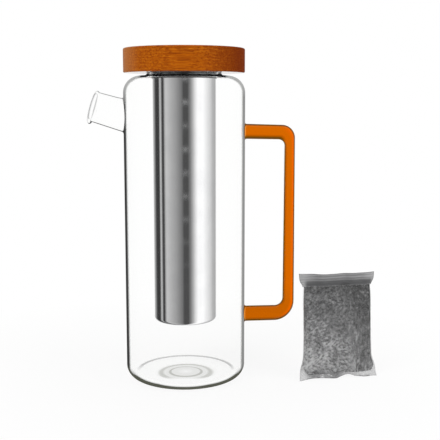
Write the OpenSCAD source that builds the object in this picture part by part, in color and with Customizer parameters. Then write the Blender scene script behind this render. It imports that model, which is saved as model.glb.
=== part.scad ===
// Glass water filter jug. A blown glass body carries a fused pouring spout and a bent glass handle.
// A steel filter tube hangs in the neck under a turned wooden lid, and its filter pouch stands beside the jug.
// Millimetres. The origin is on the body's axis at the surface the jug stands on.
// +Z is up, +X points to the handle and -X to the spout.

/* [Glass body] */
// Outside diameter of the cylindrical wall
body_d = 100; // [90:1:120]
// Thickness of the blown wall
wall = 2.4; // [1.8:0.1:3]
// Thickness of the floor at the standing ring
floor_t = 4; // [3.4:0.1:6]
// Height of the shoulder's top
shoulder_z = 252.7; // [235:0.1:270]
// Outside radius of the shoulder's bend
shoulder_r = 14; // [8:0.5:16]
// Outside radius of the bottom edge
heel_r = 11; // [6:0.5:14]
// How far inside the heel's bend the floor disc is fused in
seam_in = 1; // [0.5:0.5:3]
// Height of the neck's rim over the shoulder's top
neck_h = 9; // [8:0.5:12]
// Outside radius of the sweep from shoulder to neck
neck_sweep = 4; // [3:0.5:5]
// Radius on both edges of the neck's rim
rim_edge_r = 0.8; // [0.4:0.1:0.8]
// Radial room between the filter tube and the neck's bore
neck_gap = 1.3; // [1.2:0.1:2]
// Diameter of the shallow recess under the floor
punt_d = 44; // [36:1:56]
// Depth of that recess
punt_depth = 0.8; // [0.4:0.1:1]
// Diameter of the second step in the recess
punt_step_d = 26.8; // [16:0.2:32]
// Depth of the second step
punt_step_depth = 0.6; // [0.3:0.1:0.8]

/* [Spout] */
// Distance from the shoulder's top down to where the spout's axis meets the wall
spout_drop = 32.3; // [30:0.1:60]
// Tilt of the spout above the horizontal
spout_angle = 16.5; // [8:0.5:24]
// Length of the spout along its axis from the wall to the lip
spout_len = 27.3; // [20:0.1:36]
// Inside diameter of the spout
spout_bore = 21.6; // [16:0.2:22]
// Wall of the spout where it leaves the body
spout_root_t = 2.4; // [1.8:0.1:3]
// Wall of the spout at the lip
spout_lip_t = 1.6; // [1.2:0.1:2]
// Thickness of the bead round the lip
lip_bead_d = 3.2; // [2.4:0.1:4]
// How far the bead hangs below the spout's axis, for a clean cut of the pour
lip_drop = 0.7; // [0:0.1:1]

/* [Handle] */
// Distance from the shoulder's top down to the upper arm's root
handle_drop = 45.3; // [38:0.1:70]
// Height of the lower arm's root
handle_low_z = 53.5; // [40:0.1:80]
// How far each arm leans towards the other over its length
arm_lean = 0.6; // [0:0.1:2]
// Distance from the wall to the middle of the grip
handle_out = 37; // [30:0.2:45]
// Rod diameter at the upper root
root_top_d = 12.3; // [9:0.1:13]
// Rod diameter where the upper arm starts to bend
arm_top_d = 11.9; // [8:0.1:13]
// Rod diameter at the grip's upper end
rod_top_d = 8.5; // [7:0.1:11]
// Rod diameter at the grip's lower end
rod_low_d = 9.4; // [7:0.1:12]
// Rod diameter where the lower arm starts to bend
arm_low_d = 12.7; // [8:0.1:14]
// Rod diameter at the lower root
root_low_d = 12.9; // [9:0.1:14]
// Outside radius of the upper bend
bend_top_out = 10.8; // [9:0.1:16]
// Inside radius of the upper bend
bend_top_in = 5.1; // [3:0.1:8]
// Outside radius of the lower bend
bend_low_out = 17; // [12:0.1:20]
// Inside radius of the lower bend
bend_low_in = 7; // [3:0.1:9]
// Radius of the flare where each arm meets the wall
root_flare = 1.2; // [0.6:0.1:2]

/* [Filter tube] */
// Outside diameter of the steel tube
tube_d = 52; // [46:0.5:54]
// Thickness of the sheet that the tube and its cap are made of
sheet_t = 0.6; // [0.5:0.1:1]
// Length from the flange down to the tube's bottom
tube_len = 214; // [170:0.5:225]
// Height of the pressed bottom cap
cap_h = 8; // [6:0.5:14]
// Outside radius of the cap's bottom edge
cap_edge_r = 3; // [2:0.1:4]
// Diameter of each strainer hole
hole_d = 2; // [1.2:0.1:2.4]
// Rings of strainer holes round the middle one
hole_rings = 5; // [3:1:6]
// Thickness of the flange that carries the tube
flange_t = 0.8; // [0.6:0.1:1.5]

/* [Neck seal] */
// Thickness of the seal between flange and rim
seal_flange_t = 1.2; // [0.8:0.1:2]
// Length of the seal's sleeve below the rim
sleeve_len = 11; // [8:0.5:16]
// Thickness of the sleeve
sleeve_t = 0.7; // [0.6:0.1:0.8]
// Ribs on the sleeve
sleeve_ribs = 2; // [1:1:3]

/* [Lid] */
// How far the wooden disc's edge stands inside the body's outline
lid_inset = 0.3; // [-4:0.1:5]
// Thickness of the disc
lid_t = 19.6; // [17:0.1:26]
// Gap between the disc and the shoulder's top
lid_gap = 2.3; // [1.5:0.1:4]
// Radius on the disc's edges
lid_edge_r = 1.2; // [0.5:0.1:3]
// Height of the plug below its seat on the flange
plug_h = 13; // [10:0.5:20]
// Depth of the socket that the plug is glued into
socket_depth = 2; // [1:0.5:4]
// Thickness of the ring in the plug's groove
lid_seal_d = 3.2; // [2.4:0.1:4]

/* [Pouch] */
// Height of the pouch
pouch_h = 89.4; // [70:0.1:110]
// Width at the top strip
pouch_top_w = 64.6; // [50:0.1:70]
// Width at the bottom strip
pouch_low_w = 67.5; // [50:0.5:72]
// Width where the filling draws the sides in
pouch_waist_w = 57.5; // [46:0.5:60]
// Thickness of the filled pouch
pouch_t = 23; // [14:0.5:30]
// Height of the sealed strip at the top
top_strip = 10; // [6:0.5:12]
// Height of the sealed strip at the bottom
low_strip = 4; // [2:0.5:8]
// Thickness of the sheet that the pouch is made of
film_t = 0.6; // [0.4:0.1:0.8]
// Free space between the grip and the pouch
pouch_gap = 4.1; // [2:0.1:20]
// How far the pouch stands in front of the jug's middle plane
pouch_front = 8.2; // [0:0.1:20]
// How far the pouch is turned, with the edge next to the jug to the front
pouch_turn = 12.4; // [0:0.1:30]
// How far the pouch's top leans towards the jug
pouch_lean = 2.3; // [0:0.1:6]

/* [Clearances] */
// Radial clearance of a seal that slides out of its bore
seal_clear = 0.2; // [0.1:0.05:0.4]
// Radial clearance between plug and tube
plug_clear = 1.2; // [0.8:0.1:1.6]
// Radial clearance between the lid's recess and the flange
recess_clear = 1.2; // [0.5:0.1:4]
// Clearance between pieces that stay together
seat_gap = 0.05; // [0.02:0.01:0.1]
// Room between the granules and the pouch
media_gap = 0.3; // [0.2:0.05:0.5]

/* [Hidden] */
$fn = 96;
// A cutting tool reaches this far past the face that it cuts
past = 1;

body_r = body_d / 2;
seam_r = body_r - heel_r - seam_in;
tube_r = tube_d / 2;
tube_ir = tube_r - sheet_t;
neck_r = tube_r + neck_gap;
neck_or = neck_r + wall;
rim_z = shoulder_z + neck_h;
seal_top_z = rim_z + seal_flange_t;
seat_z = seal_top_z + flange_t;
tube_low_z = seal_top_z - tube_len;
spout_z = shoulder_z - spout_drop;
spout_r = spout_bore / 2;
spout_root_r = spout_r + spout_root_t;
spout_lip_r = spout_r + spout_lip_t;
handle_top_z = shoulder_z - handle_drop;
grip_x = body_r + handle_out;
lid_low_z = shoulder_z + lid_gap;
lid_r = body_r - lid_inset;
recess_r = neck_or + flange_t / 2 + recess_clear;
plug_r = tube_ir - plug_clear;
lid_seal_mid_r = tube_ir - seal_clear - lid_seal_d / 2;
lid_seal_z = seat_z - plug_h / 2;
pouch_x = grip_x + rod_low_d / 2 + pouch_gap + pouch_low_w / 2 * cos(pouch_turn);

// Half of a section from the axis out to r, h high, with its lower outer corner rounded
module round_low(r, h, edge) {
    translate([0, edge]) square([r, h - edge]);
    square([r - edge, edge]);
    translate([r - edge, edge]) circle(r = edge);
}

// The same with both outer corners rounded
module round_both(r, z_low, z_top, edge_low, edge_top) {
    half = (z_top - z_low) / 2;
    translate([0, z_low]) round_low(r, half, edge_low);
    translate([0, z_top]) mirror([0, 1]) round_low(r, half, edge_top);
}

// A quarter fillet that fills the corner at the origin between the +X and +Y directions
module corner_fill(r) {
    difference() {
        square(r);
        translate([r, r]) circle(r = r);
    }
}

// A closed skin over a stack of sections with the same count of points
module loft(sections) {
    n = len(sections[0]);
    top = (len(sections) - 1) * n;
    sides = [for (k = [0 : len(sections) - 2], i = [0 : n - 1]) let (a = k * n, j = (i + 1) % n)
        each [[a + i, a + n + i, a + n + j], [a + i, a + n + j, a + j]]];
    low_cap = [for (i = [1 : n - 2]) [0, i, i + 1]];
    top_cap = [for (i = [1 : n - 2]) [top, top + i + 1, top + i]];
    polyhedron(points = [for (s = sections) each s], faces = concat(sides, low_cap, top_cap));
}

// Turns local +Z to run out along the spout, from where its axis meets the wall
module along_spout() {
    translate([-body_r, 0, spout_z]) rotate([0, spout_angle - 90, 0]) children();
}

module body_outside() {
    translate([0, 0, -past]) cylinder(r = body_r, h = shoulder_z + 2 * past);
}

module spout_bore_tool() {
    along_spout() translate([0, 0, -2 * spout_root_r])
        cylinder(r = spout_r, h = spout_len + 2 * spout_root_r + past);
}

// Clear glass body

module glass_outer() {
    round_both(body_r, 0, shoulder_z, heel_r, shoulder_r);
    translate([neck_or, shoulder_z]) corner_fill(neck_sweep);
    translate([neck_r, shoulder_z - wall]) square([wall, neck_h + wall - rim_edge_r]);
    translate([neck_r + rim_edge_r, rim_z - rim_edge_r]) square([wall - 2 * rim_edge_r, rim_edge_r]);
    for (r = [neck_r + rim_edge_r, neck_or - rim_edge_r])
        translate([r, rim_z - rim_edge_r]) circle(r = rim_edge_r);
}

module glass_inner() {
    inner_sweep = neck_sweep + wall;
    round_both(body_r - wall, floor_t, shoulder_z - wall, heel_r - wall, shoulder_r - wall);
    translate([0, shoulder_z - 2 * wall]) square([neck_r, neck_h + 2 * wall + past]);
    translate([neck_r, shoulder_z - wall]) corner_fill(inner_sweep);
}

module punt() {
    translate([0, -past]) square([punt_d / 2, punt_depth + past]);
    translate([0, -past]) square([punt_step_d / 2, punt_depth + punt_step_depth + past]);
}

// The floor disc, fused into the heel all round
module glass_base() {
    color([0.86, 0.93, 0.94, 0.35]) rotate_extrude() difference() {
        square([seam_r, floor_t]);
        punt();
    }
}

module glass_body() {
    color([0.86, 0.93, 0.94, 0.35]) difference() {
        rotate_extrude() difference() {
            glass_outer();
            glass_inner();
            translate([0, -past]) square([seam_r, floor_t + 2 * past]);
        }
        spout_bore_tool();
    }
}

module pour_spout() {
    root_in = spout_root_r;
    taper = (spout_root_r - spout_lip_r) / spout_len;
    color([0.86, 0.93, 0.94, 0.35]) difference() {
        along_spout() {
            translate([0, 0, -root_in])
                cylinder(r1 = spout_root_r + taper * root_in, r2 = spout_lip_r, h = root_in + spout_len);
            translate([-lip_drop, 0, spout_len - lip_bead_d / 2]) rotate_extrude()
                translate([spout_r + lip_bead_d / 2, 0]) circle(d = lip_bead_d);
        }
        spout_bore_tool();
        body_outside();
    }
}

// Amber glass handle

rod_sides = 36;
bend_steps = 10;
flare_steps = 5;
grip_in_x = [grip_x - rod_top_d / 2, grip_x - rod_low_d / 2];
grip_out_x = [grip_x + rod_top_d / 2, grip_x + rod_low_d / 2];

// A section of the rod between its inner and outer points in the XZ plane
function rod_section(inner, outer, half_y) = [for (i = [0 : rod_sides - 1]) let (c = cos(360 * i / rod_sides))
    [(inner[0] + outer[0] + (outer[0] - inner[0]) * c) / 2,
     -half_y * sin(360 * i / rod_sides),
     (inner[1] + outer[1] + (outer[1] - inner[1]) * c) / 2]];
// Upright section of an arm, out is 1 for the upper arm and -1 for the lower
function arm_section(x, z, r, out) = rod_section([x, z - out * r], [x, z + out * r], r);
// Sections of an arm from inside the wall to the end of its flare
function root_sections(z, r, out) = concat([arm_section(body_r - r, z, r + root_flare, out)],
    [for (k = [0 : flare_steps]) let (a = 90 * k / flare_steps)
        arm_section(body_r + root_flare * (1 - cos(a)), z, r + root_flare * (1 - sin(a)), out)]);
// Sections of a bend, turned about one centre for its inside and one for its outside
function bend_sections(in_at, in_r, out_at, out_r, half_y, from) = [for (k = [0 : bend_steps])
    let (t = k / bend_steps, a = from - 90 * t, way = [cos(a), sin(a)])
    rod_section(in_at + in_r * way, out_at + out_r * way, half_y[0] + (half_y[1] - half_y[0]) * t)];

module handle() {
    top_z = handle_top_z - arm_lean;
    low_z = handle_low_z + arm_lean;
    top_in = [grip_in_x[0] - bend_top_in, top_z - arm_top_d / 2 - bend_top_in];
    top_out = [grip_out_x[0] - bend_top_out, top_z + arm_top_d / 2 - bend_top_out];
    low_in = [grip_in_x[1] - bend_low_in, low_z + arm_low_d / 2 + bend_low_in];
    low_out = [grip_out_x[1] - bend_low_out, low_z - arm_low_d / 2 + bend_low_out];
    low_root = root_sections(handle_low_z, root_low_d / 2, -1);
    color([0.86, 0.42, 0.04, 0.8]) difference() {
        loft(concat(
            root_sections(handle_top_z, root_top_d / 2, 1),
            bend_sections(top_in, bend_top_in, top_out, bend_top_out, [arm_top_d, rod_top_d] / 2, 90),
            bend_sections(low_in, bend_low_in, low_out, bend_low_out, [rod_low_d, arm_low_d] / 2, 0),
            [for (k = [len(low_root) - 1 : -1 : 0]) low_root[k]]));
        body_outside();
    }
}

// Steel filter tube

module filter_tube() {
    color("silver") translate([0, 0, tube_low_z + cap_h]) difference() {
        cylinder(r = tube_r, h = tube_len - cap_h);
        translate([0, 0, -past]) cylinder(r = tube_ir, h = tube_len - cap_h + 2 * past);
    }
}

module strainer_cap() {
    pitch = (tube_r - cap_edge_r - hole_d) / hole_rings;
    color("silver") translate([0, 0, tube_low_z]) difference() {
        rotate_extrude() difference() {
            round_low(tube_r, cap_h, cap_edge_r);
            translate([0, sheet_t]) round_low(tube_ir, cap_h, cap_edge_r - sheet_t);
        }
        translate([0, 0, -past]) {
            cylinder(d = hole_d, h = sheet_t + 2 * past);
            for (ring = [1 : hole_rings], i = [1 : 6 * ring])
                rotate(60 * i / ring) translate([ring * pitch, 0]) cylinder(d = hole_d, h = sheet_t + 2 * past);
        }
    }
}

module tube_flange() {
    color("silver") translate([0, 0, seal_top_z]) rotate_extrude() {
        translate([tube_ir, 0]) square([neck_or - tube_ir, flange_t]);
        translate([neck_or, flange_t / 2]) circle(d = flange_t);
    }
}

module neck_seal() {
    rib_r = (neck_r - seal_clear - tube_r - sleeve_t) / 2;
    bore_low_z = shoulder_z + neck_sweep;
    rib_pitch = (rim_z - rim_edge_r - bore_low_z) / (sleeve_ribs + 1);
    sleeve_or = tube_r + sleeve_t;
    color([0.06, 0.06, 0.06]) rotate_extrude() {
        translate([tube_r + seat_gap, rim_z - sleeve_len])
            square([sleeve_t - seat_gap, sleeve_len + seal_flange_t]);
        translate([tube_r + seat_gap, rim_z]) square([neck_or - tube_r - seat_gap, seal_flange_t]);
        for (i = [1 : sleeve_ribs])
            translate([sleeve_or + rib_r, bore_low_z + i * rib_pitch]) circle(r = rib_r);
        for (i = [1 : sleeve_ribs])
            translate([sleeve_or - seat_gap, bore_low_z + i * rib_pitch - rib_r]) square([rib_r, 2 * rib_r]);
    }
}

// Wooden lid

module lid_disc() {
    color([0.66, 0.36, 0.13]) rotate_extrude() difference() {
        round_both(lid_r, lid_low_z, lid_low_z + lid_t, lid_edge_r, lid_edge_r);
        translate([0, lid_low_z - past]) square([recess_r, seat_z - lid_low_z + past]);
        translate([0, lid_low_z]) square([plug_r + seat_gap, seat_z + socket_depth - lid_low_z]);
    }
}

module lid_plug() {
    color([0.7, 0.42, 0.18]) rotate_extrude() difference() {
        translate([0, seat_z - plug_h]) round_low(plug_r, plug_h + socket_depth, lid_edge_r);
        translate([lid_seal_mid_r, lid_seal_z]) circle(d = lid_seal_d + 2 * seat_gap);
    }
}

module lid_seal() {
    color([0.85, 0.85, 0.82]) rotate_extrude() translate([lid_seal_mid_r, lid_seal_z]) circle(d = lid_seal_d);
}

// Filter pouch

pouch_sides = 28;
pouch_steps = 18;
filled_h = pouch_h - low_strip - top_strip;
// How square the pouch's section is: 1 is an ellipse, less is squarer
section_power = 0.8;
// How quickly the pouch fills out from its strips
fill_power = 0.6;
// Less than 1 puts the thickest place below the middle
sag_power = 0.85;

function signed_power(v, p) = sign(v) * pow(abs(v), p);
// Share of the full thickness at the height fraction t of the filled length
function fullness(t) = pow(max(0, sin(180 * pow(t, sag_power))), fill_power);
function strip_half_w(z) = (pouch_low_w + (pouch_top_w - pouch_low_w) * z / pouch_h) / 2;
function pouch_half_w(t, z) = strip_half_w(z) * (1 - fullness(t)) + pouch_waist_w / 2 * fullness(t);
function pouch_half_t(t) = film_t + (pouch_t / 2 - film_t) * fullness(t);
function pouch_section(half_w, half_t, z) = [for (i = [0 : pouch_sides - 1])
    [half_w * signed_power(cos(360 * i / pouch_sides), section_power) - pouch_lean * z / pouch_h,
     half_t * signed_power(sin(360 * i / pouch_sides), section_power), z]];
// Height fraction of section k, closer together near the strips, where the pouch swells fastest
function step_at(k) = (1 - cos(180 * k / pouch_steps)) / 2;
// The section at height fraction t of the filled length, inset on all sides
function filled_section(t, inset) = let (z = low_strip + t * filled_h)
    pouch_section(pouch_half_w(t, z) - inset, pouch_half_t(t) - inset, z);

// The inside of the filled part, which leaves out the given count of sections at each end
module filling(skipped, inset) {
    loft([for (k = [skipped : pouch_steps - skipped]) filled_section(step_at(k), inset)]);
}

module pouch_place() {
    translate([pouch_x, -pouch_front, 0]) rotate([0, 0, pouch_turn]) children();
}

module pouch_bag() {
    low_end = [pouch_section(strip_half_w(0), film_t, 0)];
    top_end = [pouch_section(strip_half_w(pouch_h), film_t, pouch_h)];
    filled = [for (k = [0 : pouch_steps]) filled_section(step_at(k), 0)];
    color([0.42, 0.42, 0.43]) pouch_place() difference() {
        loft(concat(low_end, filled, top_end));
        filling(1, film_t);
    }
}

module filter_media() {
    color([0.25, 0.25, 0.26]) pouch_place() filling(2, film_t + media_gap);
}

glass_base();
glass_body();
pour_spout();
handle();
filter_tube();
strainer_cap();
tube_flange();
neck_seal();
lid_disc();
lid_plug();
lid_seal();
pouch_bag();
filter_media();
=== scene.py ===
"""Looks of a glass water filter jug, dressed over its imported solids.

Lengths are written in millimetres, in shapes and in finishes, and turned into metres where a mesh is made.
Scales of textures are per metre.
"""

import logging
import math
from collections.abc import Callable, Iterable, Sequence
from dataclasses import dataclass
from enum import Enum, auto
from functools import reduce

import bmesh
import bpy
import numpy as np
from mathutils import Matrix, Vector, noise


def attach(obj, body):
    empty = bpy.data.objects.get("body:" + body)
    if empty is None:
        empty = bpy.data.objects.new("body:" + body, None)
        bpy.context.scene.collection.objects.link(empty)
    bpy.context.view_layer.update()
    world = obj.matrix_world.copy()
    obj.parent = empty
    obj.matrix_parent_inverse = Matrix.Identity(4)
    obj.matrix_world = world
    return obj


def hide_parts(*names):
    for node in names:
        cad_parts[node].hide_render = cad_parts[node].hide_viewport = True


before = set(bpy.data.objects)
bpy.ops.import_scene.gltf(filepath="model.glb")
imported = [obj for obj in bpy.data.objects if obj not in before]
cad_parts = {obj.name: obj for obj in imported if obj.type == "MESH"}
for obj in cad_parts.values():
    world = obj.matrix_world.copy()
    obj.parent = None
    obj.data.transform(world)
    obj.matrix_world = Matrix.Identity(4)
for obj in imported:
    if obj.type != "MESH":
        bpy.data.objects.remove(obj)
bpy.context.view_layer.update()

LOG = logging.getLogger("jug")
MM = 0.001

Point = tuple[float, float, float]
Flat = tuple[float, float]
Colour = tuple[float, float, float, float]
Stop = tuple[float, Colour]
Place = tuple[int, int, int]
Socket = bpy.types.NodeSocket
Inputs = dict[str | int, object]
Material = bpy.types.Material
Piece = bpy.types.Object

LEVELS = {"Low": "Float", "High": "Float"}


class Body(Enum):
    """The moving bodies of the part."""

    JUG = "jug"
    POUCH = "pouch"


class Slot(Enum):
    """The record's material slot names."""

    CLEAR_GLASS = "clear_glass"
    AMBER_GLASS = "amber_glass"
    POUCH_SHEET = "pouch_sheet"
    GRANULES = "granules"


class Way(Enum):
    """The directions along which the bag's painted shading changes."""

    ACROSS = "across"
    UP = "up"


def grey(level: float) -> Colour:
    """An opaque neutral colour."""
    return (level, level, level, 1.0)


def arc(
    centre: Flat, radius: float, start: float, end: float, steps: int, upright: float | None = None
) -> list[Flat]:
    """Points along a round or oval arc, both ends included.

    Args:
        centre: Middle of the arc.
        radius: Its radius.
        start: First angle in degrees.
        end: Last angle in degrees.
        steps: Count of steps from one to the other.
        upright: Its radius upwards, where that is another one.

    Returns:
        The points in order.
    """
    rise = radius if upright is None else upright
    turns = np.radians(np.linspace(start, end, steps + 1))
    return [(centre[0] + radius * math.cos(t), centre[1] + rise * math.sin(t)) for t in turns]


def smooth_step(t: float) -> float:
    """Eases from 0 to 1 with level ends."""
    t = min(max(t, 0.0), 1.0)
    return t * t * (3 - 2 * t)


def look_up(rows: Sequence[Flat], at: float) -> float:
    """Reads a table of rising places and their values, with straight lines between them."""
    places, values = zip(*rows)
    return float(np.interp(at, places, values))


class MeshDraft:
    """Points and faces of one piece in the making, in millimetres."""

    def __init__(self, name: str) -> None:
        """Starts an empty draft."""
        self.name = name
        self.points: list[Point] = []
        self.faces: list[tuple[int, ...]] = []

    def ring(self, points: Iterable[Sequence[float]]) -> list[int]:
        """Adds points.

        Args:
            points: The points in order.

        Returns:
            Their numbers.
        """
        start = len(self.points)
        self.points.extend((float(p[0]), float(p[1]), float(p[2])) for p in points)
        return list(range(start, len(self.points)))

    def skin(self, rings: Sequence[Sequence[int]]) -> None:
        """Joins a row of closed rings with four-sided faces.

        Args:
            rings: Numbers of the rings' points, the same count in each.
        """
        for a, b in zip(rings, rings[1:]):
            for i in range(len(a)):
                j = (i + 1) % len(a)
                self.faces.append((a[i], a[j], b[j], b[i]))

    def fan(self, ring: Sequence[int], middle: int) -> None:
        """Closes a ring with triangles to a middle point."""
        for i in range(len(ring)):
            self.faces.append((ring[i], ring[(i + 1) % len(ring)], middle))

    def piece(self, finish: Material) -> Piece:
        """Turns the draft into a smooth object with outward faces.

        Args:
            finish: The material that the whole piece takes.

        Returns:
            The new object, in metres.
        """
        mesh = bpy.data.meshes.new(self.name)
        mesh.from_pydata([(x * MM, y * MM, z * MM) for x, y, z in self.points], [], self.faces)
        work = bmesh.new()
        work.from_mesh(mesh)
        bmesh.ops.delete(work, geom=[v for v in work.verts if not v.link_faces], context="VERTS")
        bmesh.ops.recalc_face_normals(work, faces=work.faces)
        for face in work.faces:
            face.smooth = True
        work.to_mesh(mesh)
        work.free()
        mesh.materials.append(finish)
        obj = bpy.data.objects.new(self.name, mesh)
        bpy.context.scene.collection.objects.link(obj)
        return obj


class Bench:
    """A node tree with short ways to add and join nodes."""

    def __init__(self, tree: bpy.types.NodeTree) -> None:
        """Takes over a tree and empties it."""
        self.tree = tree
        tree.nodes.clear()

    def add(self, kind: str, inputs: Inputs | None = None, **settings: object) -> bpy.types.Node:
        """Adds a node, sets it up and joins its inputs.

        Args:
            kind: Blender's name of the node, without its common first part.
            inputs: A value or an output for each input, by name or number.
            **settings: Attributes of the node.

        Returns:
            The new node.
        """
        node = self.tree.nodes.new("ShaderNode" + kind)
        for name, value in settings.items():
            setattr(node, name, value)
        for key, value in (inputs or {}).items():
            if isinstance(value, Socket):
                self.tree.links.new(value, node.inputs[key])
            else:
                node.inputs[key].default_value = value
        return node

    def ramp(self, value: Socket, stops: Sequence[Stop]) -> Socket:
        """Turns a value into a colour by a row of stops.

        Args:
            value: The output that picks the colour.
            stops: Place and colour of each stop, in rising order.

        Returns:
            The colour output.
        """
        node = self.add("ValToRGB", {0: value})
        band = node.color_ramp
        while len(band.elements) < len(stops):
            band.elements.new(0.5)
        for element, (place, colour) in zip(band.elements, stops, strict=True):
            element.position = place
            element.color = colour
        return node.outputs["Color"]

    def mix(self, share: object, a: object, b: object) -> Socket:
        """Mixes two colours."""
        return self.add("Mix", {0: share, 6: a, 7: b}, data_type="RGBA").outputs[2]

    def blend(self, share: object, a: object, b: object) -> Socket:
        """Mixes two numbers."""
        return self.add("Mix", {0: share, 2: a, 3: b}, data_type="FLOAT").outputs[0]

    def math(self, operation: str, a: object, b: object = 0.0) -> Socket:
        """Works out one number from two."""
        return self.add("Math", {0: a, 1: b}, operation=operation).outputs[0]

    def product(self, *values: object) -> Socket:
        """Multiplies all the values."""
        return reduce(lambda a, b: self.math("MULTIPLY", a, b), values)

    def largest(self, *values: object) -> Socket:
        """Takes the largest of the values."""
        return reduce(lambda a, b: self.math("MAXIMUM", a, b), values)

    def some(self, count: Socket) -> Socket:
        """1 where a count isn't nought."""
        return self.math("GREATER_THAN", count, 0.5)

    def none(self, count: Socket) -> Socket:
        """1 where a count is nought."""
        return self.math("LESS_THAN", count, 0.5)

    def spread(self, value: object, low: float, high: float, to: Flat = (0.0, 1.0)) -> Socket:
        """Stretches the span from low to high over another span, cut off at its ends."""
        return self.add("MapRange", {0: value, 1: low, 2: high, 3: to[0], 4: to[1]}).outputs[0]

    def place(self) -> tuple[Socket, Sequence[Socket]]:
        """Where a point lies on its piece, in metres, and its X, Y and Z in millimetres.

        Returns:
            The place as a vector, and its three parts.
        """
        place = self.add("TexCoord").outputs["Object"]
        scaled = self.add("VectorMath", {0: place, "Scale": 1 / MM}, operation="SCALE")
        return place, self.add("SeparateXYZ", {0: scaled.outputs[0]}).outputs

    def length(self, parts: Inputs) -> Socket:
        """Length of the vector with the given parts."""
        vector = self.add("CombineXYZ", parts).outputs[0]
        return self.add("VectorMath", {0: vector}, operation="LENGTH").outputs["Value"]

    def facing(self) -> Socket:
        """0 where a surface is met head on, 1 where it is met edge on."""
        return self.add("LayerWeight", {"Blend": 0.5}).outputs["Facing"]

    def normal(self) -> Sequence[Socket]:
        """The surface's direction, as its X, Y and Z."""
        return self.add("SeparateXYZ", {0: self.add("NewGeometry").outputs["Normal"]}).outputs

    def bump(self, height: Socket, strength: float, distance: float) -> Socket:
        """The direction of a surface that a height raises by at most a distance."""
        values = {"Strength": strength, "Distance": distance * MM, "Height": height}
        return self.add("Bump", values).outputs[0]

    def close(self, surface: Socket, hidden: Socket | None = None) -> None:
        """Joins a finished surface to the material's output.

        Args:
            surface: The surface.
            hidden: Where it lets everything through, if anywhere.
        """
        if hidden is not None:
            gone = self.add("BsdfTransparent").outputs[0]
            surface = self.add("MixShader", {0: hidden, 1: surface, 2: gone}).outputs[0]
        self.add("OutputMaterial", {"Surface": surface})

    def in_mirror(self) -> Socket:
        """1 where a surface is met by way of a reflection."""
        return self.some(self.add("LightPath").outputs["Glossy Depth"])

    def in_steel(self) -> Socket:
        """1 where a surface is met by way of a reflection seen through the jug's wall."""
        path = self.add("LightPath").outputs
        return self.product(self.some(path["Glossy Depth"]), self.some(path["Transmission Depth"]))


class GroupBench(Bench):
    """A shader node group in the making."""

    def __init__(self, name: str, inputs: dict[str, str], outputs: Sequence[str]) -> None:
        """Starts the group and makes its named sockets.

        Args:
            name: The group's name.
            inputs: Kind of each input, by name.
            outputs: Names of the outputs, which are plain values.
        """
        super().__init__(bpy.data.node_groups.new(name, "ShaderNodeTree"))
        sockets = self.tree.interface
        for key, kind in inputs.items():
            sockets.new_socket(key, in_out="INPUT", socket_type="NodeSocket" + kind)
        for key in outputs:
            sockets.new_socket(key, in_out="OUTPUT", socket_type="NodeSocketFloat")
        self.given = self.tree.nodes.new("NodeGroupInput").outputs
        self.result = self.tree.nodes.new("NodeGroupOutput").inputs

    def put_out(self, key: str, value: Socket) -> None:
        """Joins a value to one of the group's outputs."""
        self.tree.links.new(value, self.result[key])

    def put_levels(self, value: Socket, low: float, high: float) -> None:
        """Puts out a value's span, stretched between the levels that the group is given."""
        span = {0: value, 1: low, 2: high, 3: self.given["Low"], 4: self.given["High"]}
        self.put_out("Mask", self.add("MapRange", span).outputs[0])


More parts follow.
